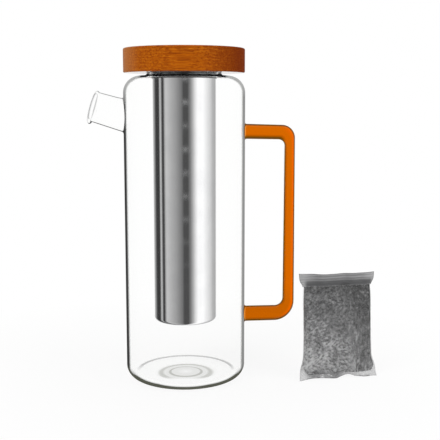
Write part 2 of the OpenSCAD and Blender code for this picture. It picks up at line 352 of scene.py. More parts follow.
class Effects:
    """The effects that finishes share, each a node group built once."""

    def __init__(self) -> None:
        """Builds the groups."""
        self.mottle = self.soft_mottle()
        self.streaks = self.fine_streaks()
        self.pebbles = self.packed_granules()

    def soft_mottle(self) -> bpy.types.NodeTree:
        """Soft clouds between two levels.

        Returns:
            The group.
        """
        bench = GroupBench("soft_mottle", {"Vector": "Vector", "Scale": "Float", **LEVELS}, ["Mask"])
        given = bench.given
        clouds = bench.add("TexNoise", {"Vector": given["Vector"], "Scale": given["Scale"], "Detail": 4.0})
        bench.put_levels(clouds.outputs[0], 0.32, 0.68)
        return bench.tree

    def fine_streaks(self) -> bpy.types.NodeTree:
        """Fine lines, drawn out along the direction with the smallest stretch.

        Returns:
            The group.
        """
        inputs = {"Vector": "Vector", "Stretch": "Vector", "Detail": "Float", **LEVELS}
        bench = GroupBench("fine_streaks", inputs, ["Mask"])
        given = bench.given
        drawn = bench.add("VectorMath", {0: given["Vector"], 1: given["Stretch"]}, operation="MULTIPLY")
        strands = {"Vector": drawn.outputs[0], "Scale": 1.0, "Detail": given["Detail"], "Roughness": 0.6}
        bench.put_levels(bench.add("TexNoise", strands).outputs[0], 0.34, 0.66)
        return bench.tree

    def packed_granules(self) -> bpy.types.NodeTree:
        """Close-packed granules with a tone and a height of their own.

        Returns:
            The group.
        """
        inputs = {"Vector": "Vector", "Scale": "Float", "Jitter": "Float"}
        bench = GroupBench("packed_granules", inputs, ["Tone", "Height"])
        given = bench.given
        shift = bench.add("TexNoise", {"Vector": given["Vector"], "Scale": given["Scale"], "Detail": 1.0})
        most = (0.6 * MM, 0.6 * MM, 0.6 * MM)
        parts = {0: shift.outputs[1], 1: most, 2: given["Vector"]}
        moved = bench.add("VectorMath", parts, operation="MULTIPLY_ADD").outputs[0]
        grains = {"Vector": moved, "Scale": given["Scale"], "Randomness": given["Jitter"]}
        cells = bench.add("TexVoronoi", grains).outputs
        bench.put_out("Tone", bench.add("SeparateColor", {0: cells["Color"]}).outputs[0])
        bench.put_out("Height", bench.spread(cells["Distance"], 0.1, 0.75, (1.0, 0.0)))
        return bench.tree

    def clouds(self, bench: Bench, place: Socket, scale: float, levels: Flat = (0.0, 1.0)) -> Socket:
        """Places soft clouds in a material.

        Args:
            bench: The material's bench.
            place: Where they lie.
            scale: How close they are.
            levels: Their lowest and highest value.

        Returns:
            The clouds' mask.
        """
        values = {"Vector": place, "Scale": scale, "Low": levels[0], "High": levels[1]}
        return bench.add("Group", values, node_tree=self.mottle).outputs[0]

    def lines(
        self, bench: Bench, place: Socket, stretch: Point, detail: float, levels: Flat = (0.0, 1.0)
    ) -> Socket:
        """Places fine lines in a material.

        Args:
            bench: The material's bench.
            place: Where they lie.
            stretch: How close they are in each direction.
            detail: How broken they are.
            levels: Their lowest and highest value.

        Returns:
            The lines' mask.
        """
        low, high = levels
        values = {"Vector": place, "Stretch": stretch, "Detail": detail, "Low": low, "High": high}
        return bench.add("Group", values, node_tree=self.streaks).outputs[0]


@dataclass(frozen=True)
class Finish:
    """What every finish has: a name, and nodes that it lays out."""

    name: str

    def paint(self, bench: Bench) -> None:
        """Lays out the finish's nodes."""
        raise NotImplementedError

    def material(self) -> Material:
        """Makes the material.

        Returns:
            The new material.
        """
        material = bpy.data.materials.new(self.name)
        material.use_nodes = True
        self.paint(Bench(material.node_tree))
        return material


@dataclass(frozen=True)
class TexturedFinish(Finish):
    """A finish that uses the shared effects."""

    effects: Effects


class Measure(Enum):
    """What a tone of glass goes by: places in millimetres, slants from 0 to 1, directions from -1 to 1."""

    ALONG = auto()
    BESIDE = auto()
    DEPTH = auto()
    HEIGHT = auto()
    RADIUS = auto()
    # Distance from the painted reflection of the lid at the neck's root
    SPOUT = auto()
    LID_REFLECTION = auto()
    SLANT = auto()
    HEEL_SLANT = auto()
    OUTWARD = auto()
    UPWARD = auto()


@dataclass(frozen=True)
class Span:
    """How a tone comes in, from low to high of a measure, and how much of it at most."""

    measure: Measure
    low: float
    high: float
    most: float = 1.0


@dataclass(frozen=True)
class Tone:
    """A colour laid over glass where all of its spans come in, or any of them."""

    colour: Colour
    spans: tuple[Span, ...]
    any_span: bool = False


def ring_spans(middle: float, half: float, most: float) -> tuple[Span, Span]:
    """A soft-edged ring about a radius, as its inner and its outer edge."""
    inner = Span(Measure.RADIUS, middle - half, middle - 0.3 * half)
    return inner, Span(Measure.RADIUS, middle + half, middle + 0.3 * half, most)


UNDERSIDE = Span(Measure.HEIGHT, 2.6, 2.2)
# Radius, half width and strength of each ring of painted shade under the floor, at the recess steps
RECESS_SHADE_RINGS = ((12.0, 15.0, 0.2), (13.4, 1.6, 0.4), (21.2, 3.2, 0.35))


@dataclass
class GlassView:
    """A place on glass, with the ways to take its measures."""

    bench: Bench
    spout_way: Point = (-0.9588, 0.0, 0.2840)
    # Where the painted reflection of the lid's shaded underside lies at the neck's root, and how it widens
    # beside the tube
    lid_reflection_z: float = 252.4
    lid_reflection_beside: Flat = (25.0, 28.5)
    lid_reflection_shares: Flat = (1.5, 0.55)
    heel_beside: Flat = (20.0, 46.0)
    heel_turn: float = 0.19

    def __post_init__(self) -> None:
        """Adds the nodes that most measures need."""
        bench = self.bench
        self.place, (along, depth, height) = bench.place()
        self.beside = bench.math("ABSOLUTE", along)
        self.height = height
        self.facing = bench.facing()
        self.ways: dict[Measure, Callable[[], Socket]] = {
            Measure.ALONG: lambda: along,
            Measure.BESIDE: lambda: self.beside,
            Measure.DEPTH: lambda: depth,
            Measure.HEIGHT: lambda: height,
            Measure.RADIUS: lambda: bench.length({0: along, 1: depth}),
            Measure.SPOUT: self.along_spout,
            Measure.LID_REFLECTION: self.off_lid_reflection,
            Measure.SLANT: lambda: self.facing,
            Measure.HEEL_SLANT: self.heel_slant,
            Measure.OUTWARD: lambda: bench.normal()[0],
            Measure.UPWARD: lambda: bench.normal()[2],
        }

    def along_spout(self) -> Socket:
        """Distance from the jug's foot in the spout's direction."""
        way = {0: self.place, 1: tuple(part / MM for part in self.spout_way)}
        return self.bench.add("VectorMath", way, operation="DOT_PRODUCT").outputs["Value"]

    def off_lid_reflection(self) -> Socket:
        """Distance from the neck's root, less beside the tube, where the painted reflection of the lid's
        shaded underside is wider.
        """
        off = self.bench.math("SUBTRACT", self.height, self.lid_reflection_z)
        share = self.bench.spread(self.beside, *self.lid_reflection_beside, self.lid_reflection_shares)
        return self.bench.product(self.bench.math("ABSOLUTE", off), share)

    def heel_slant(self) -> Socket:
        """The slant at which the heel is met, less to the sides."""
        aside = self.bench.spread(self.beside, *self.heel_beside, (0.0, self.heel_turn))
        return self.bench.math("SUBTRACT", self.facing, aside)

    def share(self, spans: Sequence[Span], any_span: bool = False) -> Socket:
        """How far the place is in all spans, or in any of them.

        Args:
            spans: The spans.
            any_span: Whether one of them is enough.

        Returns:
            The share, from 0 to 1.
        """
        join = self.bench.largest if any_span else self.bench.product
        spread = self.bench.spread
        return join(*(spread(self.ways[s.measure](), s.low, s.high, (0.0, s.most)) for s in spans))

    def toned(self, colour: object, tones: Sequence[Tone]) -> object:
        """Lays tones over a colour, from the lowest."""
        for tone in tones:
            colour = self.bench.mix(self.share(tone.spans, tone.any_span), colour, tone.colour)
        return colour


@dataclass(frozen=True)
class GlassFinish(Finish):
    """Solid glass with a painted dark outline where it is seen edge on, and further painted tones over
    that.
    """

    tint: Colour
    edges: tuple[Stop, ...]
    outline: Flat
    ior: float
    shadow: Colour
    front_tones: tuple[Tone, ...]
    all_tones: tuple[Tone, ...] = ()
    under_tones: tuple[Tone, ...] = ()
    glint: float = 0.1
    absorb: Colour = grey(1.0)
    density: float = 0.0

    def paint(self, bench: Bench) -> None:
        """Lays out the nodes.

        The face that is met first bends light and shows its tones. Its outline, shadows, the underside,
        faces behind an outline and glass in the steel's mirror image are passed straight.

        Args:
            bench: The material's bench.
        """
        view = GlassView(bench)
        path = bench.add("LightPath").outputs
        bent = bench.some(path["Transmission Depth"])
        straight = bench.math("SUBTRACT", bench.some(path["Transparent Depth"]), bent)
        first = bench.math("SUBTRACT", 1.0, bench.largest(bent, straight))
        colour = view.toned(bench.ramp(view.facing, [(0.0, self.tint), *self.edges]), self.front_tones)
        colour = view.toned(bench.mix(first, self.tint, colour), self.all_tones)
        glass = {
            "Base Color": colour,
            "Roughness": 0.0,
            "IOR": self.ior,
            "Transmission Weight": 1.0,
            "Specular Tint": grey(self.glint),
        }
        hidden = bench.in_steel()
        shadow = path["Is Shadow Ray"]
        lined = bench.product(bench.spread(view.facing, *self.outline), first)
        away = bench.largest(shadow, hidden, lined, straight)
        if self.under_tones:
            later = bench.math("SUBTRACT", 1.0, first)
            away = bench.largest(away, bench.product(view.share([UNDERSIDE]), later))
        # Bent light takes the root of the colour at each face, so light that is passed straight does too
        passed = view.toned(tuple(math.sqrt(part) for part in self.tint), self.under_tones)
        passed = bench.mix(first, passed, bench.add("Gamma", {"Color": colour, "Gamma": 0.5}).outputs[0])
        passed = bench.mix(shadow, passed, self.shadow)
        clear = bench.add("BsdfTransparent", {"Color": bench.mix(hidden, passed, grey(1.0))}).outputs[0]
        solid = bench.add("BsdfPrincipled", glass).outputs[0]
        ends: Inputs = {"Surface": bench.add("MixShader", {0: away, 1: solid, 2: clear}).outputs[0]}
        if self.density:
            haze = bench.add("VolumeAbsorption", {"Color": self.absorb, "Density": self.density})
            ends["Volume"] = haze.outputs[0]
        bench.add("OutputMaterial", ends)


@dataclass(frozen=True)
class SteelFinish(TexturedFinish):
    """Bright drawn steel with faint lengthwise lines, handling marks and weld spots along its seam."""

    colour: Colour
    worn: Colour
    gloss: Flat
    line_stretch: Point = (900.0, 900.0, 14.0)
    mark_scale: float = 70.0
    seam_x: float = 1.6
    spot_z: float = 231.5
    spot_pitch: float = 18.8
    spot_r: float = 4.8
    spot_front: Flat = (0.0, -10.0)
    spot_fade: Flat = (60.0, 150.0)
    spot_rough: float = 0.32
    ragged_scale: float = 60.0
    ragged: Flat = (-0.2, 0.1)

    def spots(self, bench: Bench, place: Socket, parts: Sequence[Socket]) -> Socket:
        """Soft weld spots in a row down the front of the tube.

        Args:
            bench: The material's bench.
            place: Place on the tube.
            parts: Its X, Y and Z.

        Returns:
            The spots' mask.
        """
        across, depth, height = parts
        beside = bench.math("SUBTRACT", across, self.seam_x)
        above = bench.math("PINGPONG", bench.math("SUBTRACT", height, self.spot_z), self.spot_pitch / 2)
        levels = (self.ragged[0] * self.spot_r, self.ragged[1] * self.spot_r)
        ragged = self.effects.clouds(bench, place, self.ragged_scale, levels)
        off = bench.math("ADD", bench.length({0: beside, 2: above}), ragged)
        shown = bench.product(bench.spread(depth, *self.spot_front), bench.spread(height, *self.spot_fade))
        return bench.product(bench.spread(off, self.spot_r, 0.0), shown)

    def paint(self, bench: Bench) -> None:
        """Lays out the nodes.

        Args:
            bench: The material's bench.
        """
        place, parts = bench.place()
        lines = self.effects.lines(bench, place, self.line_stretch, 5.0)
        marks = self.effects.clouds(bench, place, self.mark_scale)
        rough = bench.spread(bench.math("ADD", lines, marks), 0.2, 1.8, self.gloss)
        steel = {
            "Base Color": bench.mix(bench.product(marks, 0.5), self.colour, self.worn),
            "Metallic": 1.0,
            "Roughness": bench.blend(self.spots(bench, place, parts), rough, self.spot_rough),
            "Normal": bench.bump(lines, 0.03, 0.2),
        }
        bench.close(bench.add("BsdfPrincipled", steel).outputs[0])


@dataclass(frozen=True)
class WoodFinish(TexturedFinish):
    """Oiled flat-sawn wood, with its grain running along X."""

    pale: Colour
    warm: Colour
    deep: Colour
    heart_and_shade: Colour
    underside_shade: Colour
    painted_sheen: Colour
    pith: Point = (0.0, 50.0, -300.0)
    ring_stretch: Point = (0.07, 1.0, 1.0)
    ring_scale: float = 62.0
    fibre_stretch: Point = (26.0, 900.0, 900.0)
    pore_stretch: Point = (70.0, 1300.0, 1300.0)
    pore_levels: Flat = (-1.0, 1.7)
    cloud_scale: float = 30.0
    right_shade_x: Flat = (14.0, 44.0)
    sheen_x: Flat = (-34.0, -50.0)
    dull_x: Flat = (20.0, 45.0)
    underside_shade_r: Flat = (38.0, 33.0)
    underside_shade_down: Flat = (-0.3, -0.8)
    oiled_down: Flat = (-0.9, -0.98)
    oiled_slant: Flat = (0.93, 0.96)
    gloss: Flat = (0.38, 0.58)

    def year_rings(self, bench: Bench, place: Socket) -> Socket:
        """Wavy rings about the pith, drawn out along the grain.

        Args:
            bench: The material's bench.
            place: Place on the lid.

        Returns:
            The rings' value.
        """
        shift = {"Location": tuple(-v * MM for v in self.pith), "Scale": self.ring_stretch}
        about = bench.add("Mapping", {"Vector": place, **shift}).outputs[0]
        waves = {"Scale": self.ring_scale, "Distortion": 6.0, "Detail": 3.0, "Detail Scale": 0.9}
        rings = bench.add("TexWave", {"Vector": about, **waves}, wave_type="RINGS", rings_direction="X")
        return rings.outputs[1]

    def paint(self, bench: Bench) -> None:
        """Lays out the nodes.

        Args:
            bench: The material's bench.
        """
        place, (along, depth, _) = bench.place()
        upward = bench.normal()[2]
        fibres = self.effects.lines(bench, place, self.fibre_stretch, 5.0)
        pores = self.effects.lines(bench, place, self.pore_stretch, 4.0, self.pore_levels)
        pore = bench.spread(pores, 0.5, 1.3, (0.0, 0.65))
        clouds = self.effects.clouds(bench, place, self.cloud_scale)
        streak = bench.spread(fibres, 0.0, 1.0, (0.7, 1.15))
        # Darker, redder right end: partly the heartwood's own colour, partly painted shade
        right_shade = bench.product(bench.spread(along, *self.right_shade_x, (0.0, 0.95)), streak)
        radius = bench.length({0: along, 1: depth})
        # Painted shade on the middle of the lid's underside
        underside_shading = bench.product(bench.spread(upward, *self.underside_shade_down), bench.spread(radius, *self.underside_shade_r))
        stops = [(0.0, self.warm), (0.5, self.pale), (1.0, self.warm)]
        body = bench.ramp(self.year_rings(bench, place), stops)
        # Grain, clouds and pores are the wood's own; the right end takes painted shade, the left end a
        # painted sheen, the underside painted shade
        for share, tone in (
            (bench.spread(fibres, 0.1, 1.0, (0.0, 0.85)), self.deep),
            (bench.spread(clouds, 0.2, 1.0, (0.0, 0.5)), self.warm),
            (pore, self.heart_and_shade),
            (right_shade, self.heart_and_shade),
            # Painted sheen on the left end
            (bench.spread(along, *self.sheen_x, (0.0, 0.55)), self.painted_sheen),
            (underside_shading, self.underside_shade),
        ):
            body = bench.mix(share, body, tone)
        rough = bench.spread(bench.math("ADD", fibres, pore), 0.0, 1.5, self.gloss)
        relief = bench.math("SUBTRACT", bench.product(fibres, 0.5), pore)
        oiled = bench.spread(bench.facing(), *self.oiled_slant)
        wood = {
            "Base Color": body,
            "Roughness": bench.math("ADD", rough, bench.spread(along, *self.dull_x, (0.0, 0.4))),
            "Normal": bench.bump(relief, 0.2, 0.3),
            "Specular IOR Level": 0.06,
            "Coat Weight": bench.product(bench.spread(upward, *self.oiled_down), oiled),
            "Coat Roughness": 0.03,
        }
        bench.close(bench.add("BsdfPrincipled", wood).outputs[0], bench.in_mirror())


@dataclass(frozen=True)
class SiliconeFinish(TexturedFinish):
    """Moulded silicone with a faint bloom."""

    colour: Colour
    bloom: Colour
    gloss: Flat
    soft: float = 0.0
    sheen: float = 0.5
    cloud_scale: float = 120.0
    grain_scale: float = 1800.0

    def paint(self, bench: Bench) -> None:
        """Lays out the nodes.

        Args:
            bench: The material's bench.
        """
        place, _ = bench.place()
        clouds = self.effects.clouds(bench, place, self.cloud_scale)
        grain = self.effects.clouds(bench, place, self.grain_scale)
        rubber = {
            "Base Color": bench.mix(bench.product(clouds, 0.6), self.colour, self.bloom),
            "Roughness": bench.spread(grain, 0.0, 1.0, self.gloss),
            "Normal": bench.bump(grain, 0.08, 0.2),
            "Specular IOR Level": self.sheen,
            "Subsurface Weight": self.soft,
            "Subsurface Scale": 0.002,
        }
        bench.close(bench.add("BsdfPrincipled", rubber).outputs[0])


@dataclass(frozen=True)
class FilmFinish(TexturedFinish):
    """Thin fibrous sheet, see-through where few fibres lie and where painted shade thins it, sealed and
    ribbed in its strips.
    """

    fibre: Colour
    sheet: Colour
    paler_low: Colour
    rib: Colour
    groove: Colour
    strip_shade: Colour
    low_z: float
    top_z: float
    half_w: float
    cover: Flat = (0.22, 0.76)
    # Painted shading that thins the cover, by rows: painted shadow under the top strip, darker towards the
    # top, painted shade on the right side, painted light on the left edge
    painted_shades: tuple[tuple[Way, Flat, Flat], ...] = (
        (Way.UP, (70.6, 79.6), (1.0, 0.35)),
        (Way.UP, (14.0, 57.0), (1.48, 0.44)),
        (Way.ACROSS, (2.0, 22.0), (1.0, 0.42)),
        (Way.ACROSS, (-23.0, -29.0), (1.0, 1.2)),
    )
    strip_cover: float = 0.94
    hem_cover: float = 0.8
    ear_cover: float = 0.42
    ear_z: Flat = (10.5, 7.0)
    paler_z: Flat = (66.0, 14.0)
    worn_side: Flat = (20.0, 31.0)
    strip_shadow_side: Flat = (30.5, 27.5)
    strip_shade_x: Flat = (4.0, -14.0)
    packed_right: Flat = (6.0, -1.0)
    packed_left: Flat = (-28.0, -22.0)
    packed_z: Flat = (8.0, 5.0)
    slants: Point = (0.0, 58.0, -52.0)
    stroke_runs: Point = (150.0, 310.0, 310.0)
    stroke_close: float = 560.0
    upright_x: Flat = (14.0, 4.0)
    patch_scale: float = 60.0

    def strokes(self, bench: Bench, place: Socket, across: Socket) -> Socket:
        """Short fibre strokes, upright on the side away from the jug and slanted in patches elsewhere.

        Args:
            bench: The material's bench.
            place: Place on the bag.
            across: Its part across the bag.

        Returns:
            The strokes' mask.
        """
        layers: list[Socket] = []
        for slant, run in zip(self.slants, self.stroke_runs, strict=True):
            turned = bench.add("Mapping", {"Vector": place, "Rotation": (0.0, math.radians(slant), 0.0)})
            stretch = (self.stroke_close, self.stroke_close, run)
            layers.append(self.effects.lines(bench, turned.outputs[0], stretch, 2.5))
        patches = self.effects.clouds(bench, place, self.patch_scale)
        slanted = bench.blend(bench.spread(patches, 0.44, 0.56), layers[1], layers[2])
        return bench.blend(bench.spread(across, *self.upright_x), layers[0], slanted)

    def pressed(self, bench: Bench, across: Socket, height: Socket, ribs: Socket) -> Socket:
        """The sealed strip's colour: ribbed, with a painted shadow along its foot and painted shade over
        its left half.

        Args:
            bench: The material's bench.
            across: Place across the bag.
            height: Height on the bag.
            ribs: How much of a place is rib.

        Returns:
            The colour.
        """
        side = bench.math("ABSOLUTE", across)
        # Painted shadow along the strip's foot, short of its ends, where the bag bulges out below it
        strip_shadow = bench.product(
            bench.spread(height, self.top_z + 5.0, self.top_z + 2.0, (0.0, 0.95)),
            bench.spread(side, *self.strip_shadow_side),
        )
        colour = bench.mix(ribs, self.groove, self.rib)
        colour = bench.mix(bench.spread(side, *self.worn_side, (0.0, 0.7)), colour, self.fibre)
        # Painted shade over the strip's left half
        colour = bench.mix(bench.spread(across, *self.strip_shade_x, (0.0, 0.12)), colour, self.strip_shade)
        return bench.mix(strip_shadow, colour, self.strip_shade)

    def paint(self, bench: Bench) -> None:
        """Lays out the nodes.

        Args:
            bench: The material's bench.
        """
        place, (across, _, height) = bench.place()
        measures = {Way.ACROSS: across, Way.UP: height}
        strokes = self.strokes(bench, place, across)
        clouds = self.effects.clouds(bench, place, self.patch_scale, (0.62, 1.34))
        waves = {"Vector": place, "Scale": 140.0, "Distortion": 1.6, "Detail": 2.0, "Detail Scale": 0.3}
        ribs = bench.add("TexWave", waves, wave_type="BANDS", bands_direction="Z").outputs[1]
        strip = bench.spread(height, self.top_z - 1.6, self.top_z - 0.6)
        hem = bench.spread(height, self.low_z, self.low_z - 1.5)
        side = bench.math("ABSOLUTE", across)
        ear = bench.spread(side, self.half_w - 7.5, self.half_w - 4.5)
        ear = bench.product(ear, bench.spread(height, *self.ear_z))
        painted_shades = [bench.spread(measures[way], *span, levels) for way, span, levels in self.painted_shades]
        # The painted shading thins the cover, so the dark granules show through more
        cover = bench.product(bench.spread(strokes, 0.0, 1.0, self.cover), clouds, *painted_shades)
        cover = bench.blend(hem, bench.blend(strip, cover, self.strip_cover), self.hem_cover)
        packed = bench.product(
            bench.spread(across, *self.packed_right),
            bench.spread(across, *self.packed_left),
            bench.spread(height, *self.packed_z, (0.0, 0.8)),
        )
        tone = bench.mix(strokes, self.sheet, self.fibre)
        # Paler towards the bottom of the bag
        tone = bench.mix(bench.spread(height, *self.paler_z, (0.0, 0.5)), tone, self.paler_low)
        tone = bench.mix(strip, tone, self.pressed(bench, across, height, bench.product(ribs, clouds)))
        tone = bench.mix(packed, tone, self.groove)
        relief = bench.blend(strip, strokes, bench.product(ribs, 0.7))
        film = {
            "Base Color": bench.mix(ear, tone, self.fibre),
            "Roughness": bench.spread(strokes, 0.0, 1.0, (0.62, 0.44)),
            "Alpha": bench.blend(ear, cover, self.ear_cover),
            "Normal": bench.bump(relief, 0.6, 0.6),
            "Specular IOR Level": 0.3,
        }
        bench.close(bench.add("BsdfPrincipled", film).outputs[0], bench.in_steel())


@dataclass(frozen=True)
class GranuleFinish(TexturedFinish):
    """A heap of dark granules with paler mineral ones among them, and painted shade in the gaps between
    them.
    """

    carbon_and_gap_shade: Colour
    mid: Colour
    mineral: Colour
    heap_scale: float = 430.0
    dust_scale: float = 900.0

    def paint(self, bench: Bench) -> None:
        """Lays out the nodes.

        Args:
            bench: The material's bench.
        """
        place, _ = bench.place()
        grains = {"Vector": place, "Scale": self.heap_scale, "Jitter": 1.0}
        heap = bench.add("Group", grains, node_tree=self.effects.pebbles).outputs
        dust = self.effects.clouds(bench, place, self.dust_scale)
        stops = [(0.0, self.carbon_and_gap_shade), (0.6, self.mid), (0.8, self.mid), (1.0, self.mineral)]
        tone = bench.ramp(heap["Tone"], stops)
        # Painted shade in the gaps between granules
        tone = bench.mix(bench.spread(heap["Height"], 0.0, 0.45, (0.75, 0.0)), tone, self.carbon_and_gap_shade)
        stone = {
            "Base Color": bench.mix(bench.product(dust, 0.25), tone, self.mid),
            "Roughness": bench.spread(dust, 0.0, 1.0, (0.55, 0.85)),
            "Normal": bench.bump(heap["Height"], 0.9, 1.0),
        }
        bench.close(bench.add("BsdfPrincipled", stone).outputs[0], bench.in_steel())


@dataclass(frozen=True)
class FloorFinish(Finish):
    """A white sweep that shows as white and keeps a soft shadow round the object."""

    colour: Colour
    shadow_share: float
    shadow_reach: Flat

    def paint(self, bench: Bench) -> None:
        """Lays out the nodes.

        Args:
            bench: The material's bench.
        """
        _, (x, y, z) = bench.place()
        distance = bench.length({0: x, 1: y, 2: z})
        near = bench.spread(distance, *self.shadow_reach, (0.0, self.shadow_share))
        paint = bench.add("BsdfDiffuse", {"Color": self.colour}).outputs[0]
        glow = bench.add("Emission", {"Color": grey(1.0)}).outputs[0]
        shown = bench.add("MixShader", {0: near, 1: glow, 2: paint}).outputs[0]
        seen = bench.none(bench.add("LightPath").outputs["Diffuse Depth"])
        bench.close(bench.add("MixShader", {0: seen, 1: paint, 2: shown}).outputs[0], bench.in_mirror())


class Finishes:
    """Every finish of the part, made once."""

    def __init__(self) -> None:
        """Builds the materials."""
        effects = Effects()
        self.clear_glass = self.make_clear_glass()
        self.amber_glass = self.make_amber_glass()
        self.steel = SteelFinish(
            "drawn_steel",
            effects,
            colour=(0.90, 0.90, 0.905, 1.0),
            worn=(0.80, 0.80, 0.81, 1.0),
            gloss=(0.05, 0.09),
        ).material()
        self.wood = WoodFinish(
            "oiled_wood",
            effects,
            pale=(0.50, 0.145, 0.005, 1.0),
            warm=(0.38, 0.088, 0.001, 1.0),
            deep=(0.22, 0.035, 0.0, 1.0),
            heart_and_shade=(0.15, 0.018, 0.0, 1.0),
            underside_shade=(0.045, 0.014, 0.003, 1.0),
            painted_sheen=(0.44, 0.20, 0.07, 1.0),
        ).material()
        self.black_silicone = SiliconeFinish(
            "black_silicone", effects, colour=grey(0.03), bloom=grey(0.045), gloss=(0.18, 0.26), sheen=1.0
        ).material()
        self.pale_silicone = SiliconeFinish(
            "pale_silicone",
            effects,
            colour=(0.72, 0.72, 0.68, 1.0),
            bloom=(0.82, 0.82, 0.79, 1.0),
            gloss=(0.3, 0.45),
            soft=0.3,
        ).material()
        self.film = FilmFinish(
            "fibre_sheet",
            effects,
            fibre=(0.42, 0.42, 0.425, 1.0),
            sheet=(0.22, 0.22, 0.224, 1.0),
            paler_low=grey(0.52),
            rib=(0.285, 0.285, 0.289, 1.0),
            groove=(0.165, 0.165, 0.168, 1.0),
            strip_shade=(0.075, 0.075, 0.077, 1.0),
            low_z=2.2,
            top_z=80.6,
            half_w=33.7,
        ).material()
        self.granules = GranuleFinish(
            "mixed_granules", effects, carbon_and_gap_shade=grey(0.012), mid=grey(0.06), mineral=grey(0.16)
        ).material()
        self.floor = FloorFinish(
            "white_sweep", colour=grey(0.9), shadow_share=0.14, shadow_reach=(300.0, 80.0)
        ).material()

    def make_clear_glass(self) -> Material:
        """The jug's glass, water-clear with painted dark outlines, painted light and shade in places, and a
        painted reflection of the lid at the neck's root.

        Returns:
            The material.
        """
        # Painted dark outline where the wall is seen edge on
        edges = (
            (0.655, 1.0), (0.70, 0.35), (0.735, 0.01), (0.77, 0.0018), (0.92, 0.0018), (0.96, 0.03),
            (1.0, 0.3),
        )
        # Painted light that pales the dark outline on the right side and near the shoulder
        painted_lit_side = (Span(Measure.ALONG, -20.0, 45.0, 0.08), Span(Measure.HEIGHT, 228.0, 246.0, 0.2))
        # Painted shade: a dark olive band along the heel
        heel_shade = (
            Span(Measure.HEIGHT, 13.0, 8.0),
            Span(Measure.RADIUS, 40.5, 42.5),
            Span(Measure.HEEL_SLANT, 0.33, 0.43),
        )
        # Painted reflection of the lid's shaded underside: a black band at the neck's root
        lid_reflection = (
            Span(Measure.LID_REFLECTION, 1.4, 0.84),
            Span(Measure.BESIDE, 36.5, 33.5),
            Span(Measure.SLANT, 0.60, 0.68),
        )
        # Painted shade: a faint grey line round the spout's lip
        lip_shade = (Span(Measure.SPOUT, 136.3, 136.8),)
        # Painted shade: a grey line along the far edge of the floor
        floor_edge_shade = (
            *ring_spans(40.2, 2.0, 0.85),
            Span(Measure.DEPTH, -4.0, 12.0),
            Span(Measure.HEIGHT, 8.0, 6.0),
            Span(Measure.HEIGHT, UNDERSIDE.high, UNDERSIDE.low),
        )
        # Painted shade in rings under the floor at the recess steps, fading out at the front
        behind = Span(Measure.DEPTH, -21.0, -14.0)
        recess = [(*ring_spans(*sizes), UNDERSIDE, behind) for sizes in RECESS_SHADE_RINGS]
        return GlassFinish(
            "clear_glass",
            tint=grey(1.0),
            edges=tuple((place, grey(level)) for place, level in edges),
            outline=(0.66, 0.70),
            ior=1.08,
            shadow=(0.94, 0.95, 0.95, 1.0),
            front_tones=(
                Tone(grey(1.0), painted_lit_side, any_span=True),
                Tone((0.009, 0.0096, 0.0058, 1.0), heel_shade),
                Tone(grey(0.0002), lid_reflection),
            ),
            all_tones=(Tone(grey(0.6), lip_shade), Tone(grey(0.2), floor_edge_shade)),
            under_tones=tuple(Tone((0.13, 0.135, 0.085, 1.0), spans) for spans in recess),
            absorb=(0.72, 0.80, 0.66, 1.0),
            density=3.0,
        ).material()

    def make_amber_glass(self) -> Material:
        """The handle's glass, orange with painted dark outlines, painted light on its outer flank and
        painted shade underneath and towards the jug.

        Returns:
            The material.
        """
        tint = (0.68, 0.138, 0.0, 1.0)
        low_arm = (Span(Measure.HEIGHT, 80.0, 62.0), Span(Measure.SLANT, 0.44, 0.30))
        lit_flank = (Span(Measure.OUTWARD, 0.15, 0.5), Span(Measure.SLANT, 0.45, 0.3))
        # Painted shade on the rod's underside and on its side towards the jug
        shaded_belly = (Span(Measure.UPWARD, -0.3, -0.7), Span(Measure.OUTWARD, -0.45, -0.95))
        return GlassFinish(
            "amber_glass",
            tint=tint,
            # Painted dark outline where the rod is seen edge on
            edges=((0.30, tint), (0.48, (0.066, 0.030, 0.0, 1.0)), (0.7, (0.026, 0.016, 0.0, 1.0))),
            outline=(0.42, 0.52),
            ior=1.25,
            shadow=(0.9, 0.45, 0.1, 1.0),
            front_tones=(
                Tone((0.48, 0.105, 0.0, 1.0), low_arm),
                Tone((0.95, 0.128, 0.003, 1.0), lit_flank),
                Tone((0.032, 0.022, 0.0, 1.0), shaded_belly, any_span=True),
            ),
        ).material()


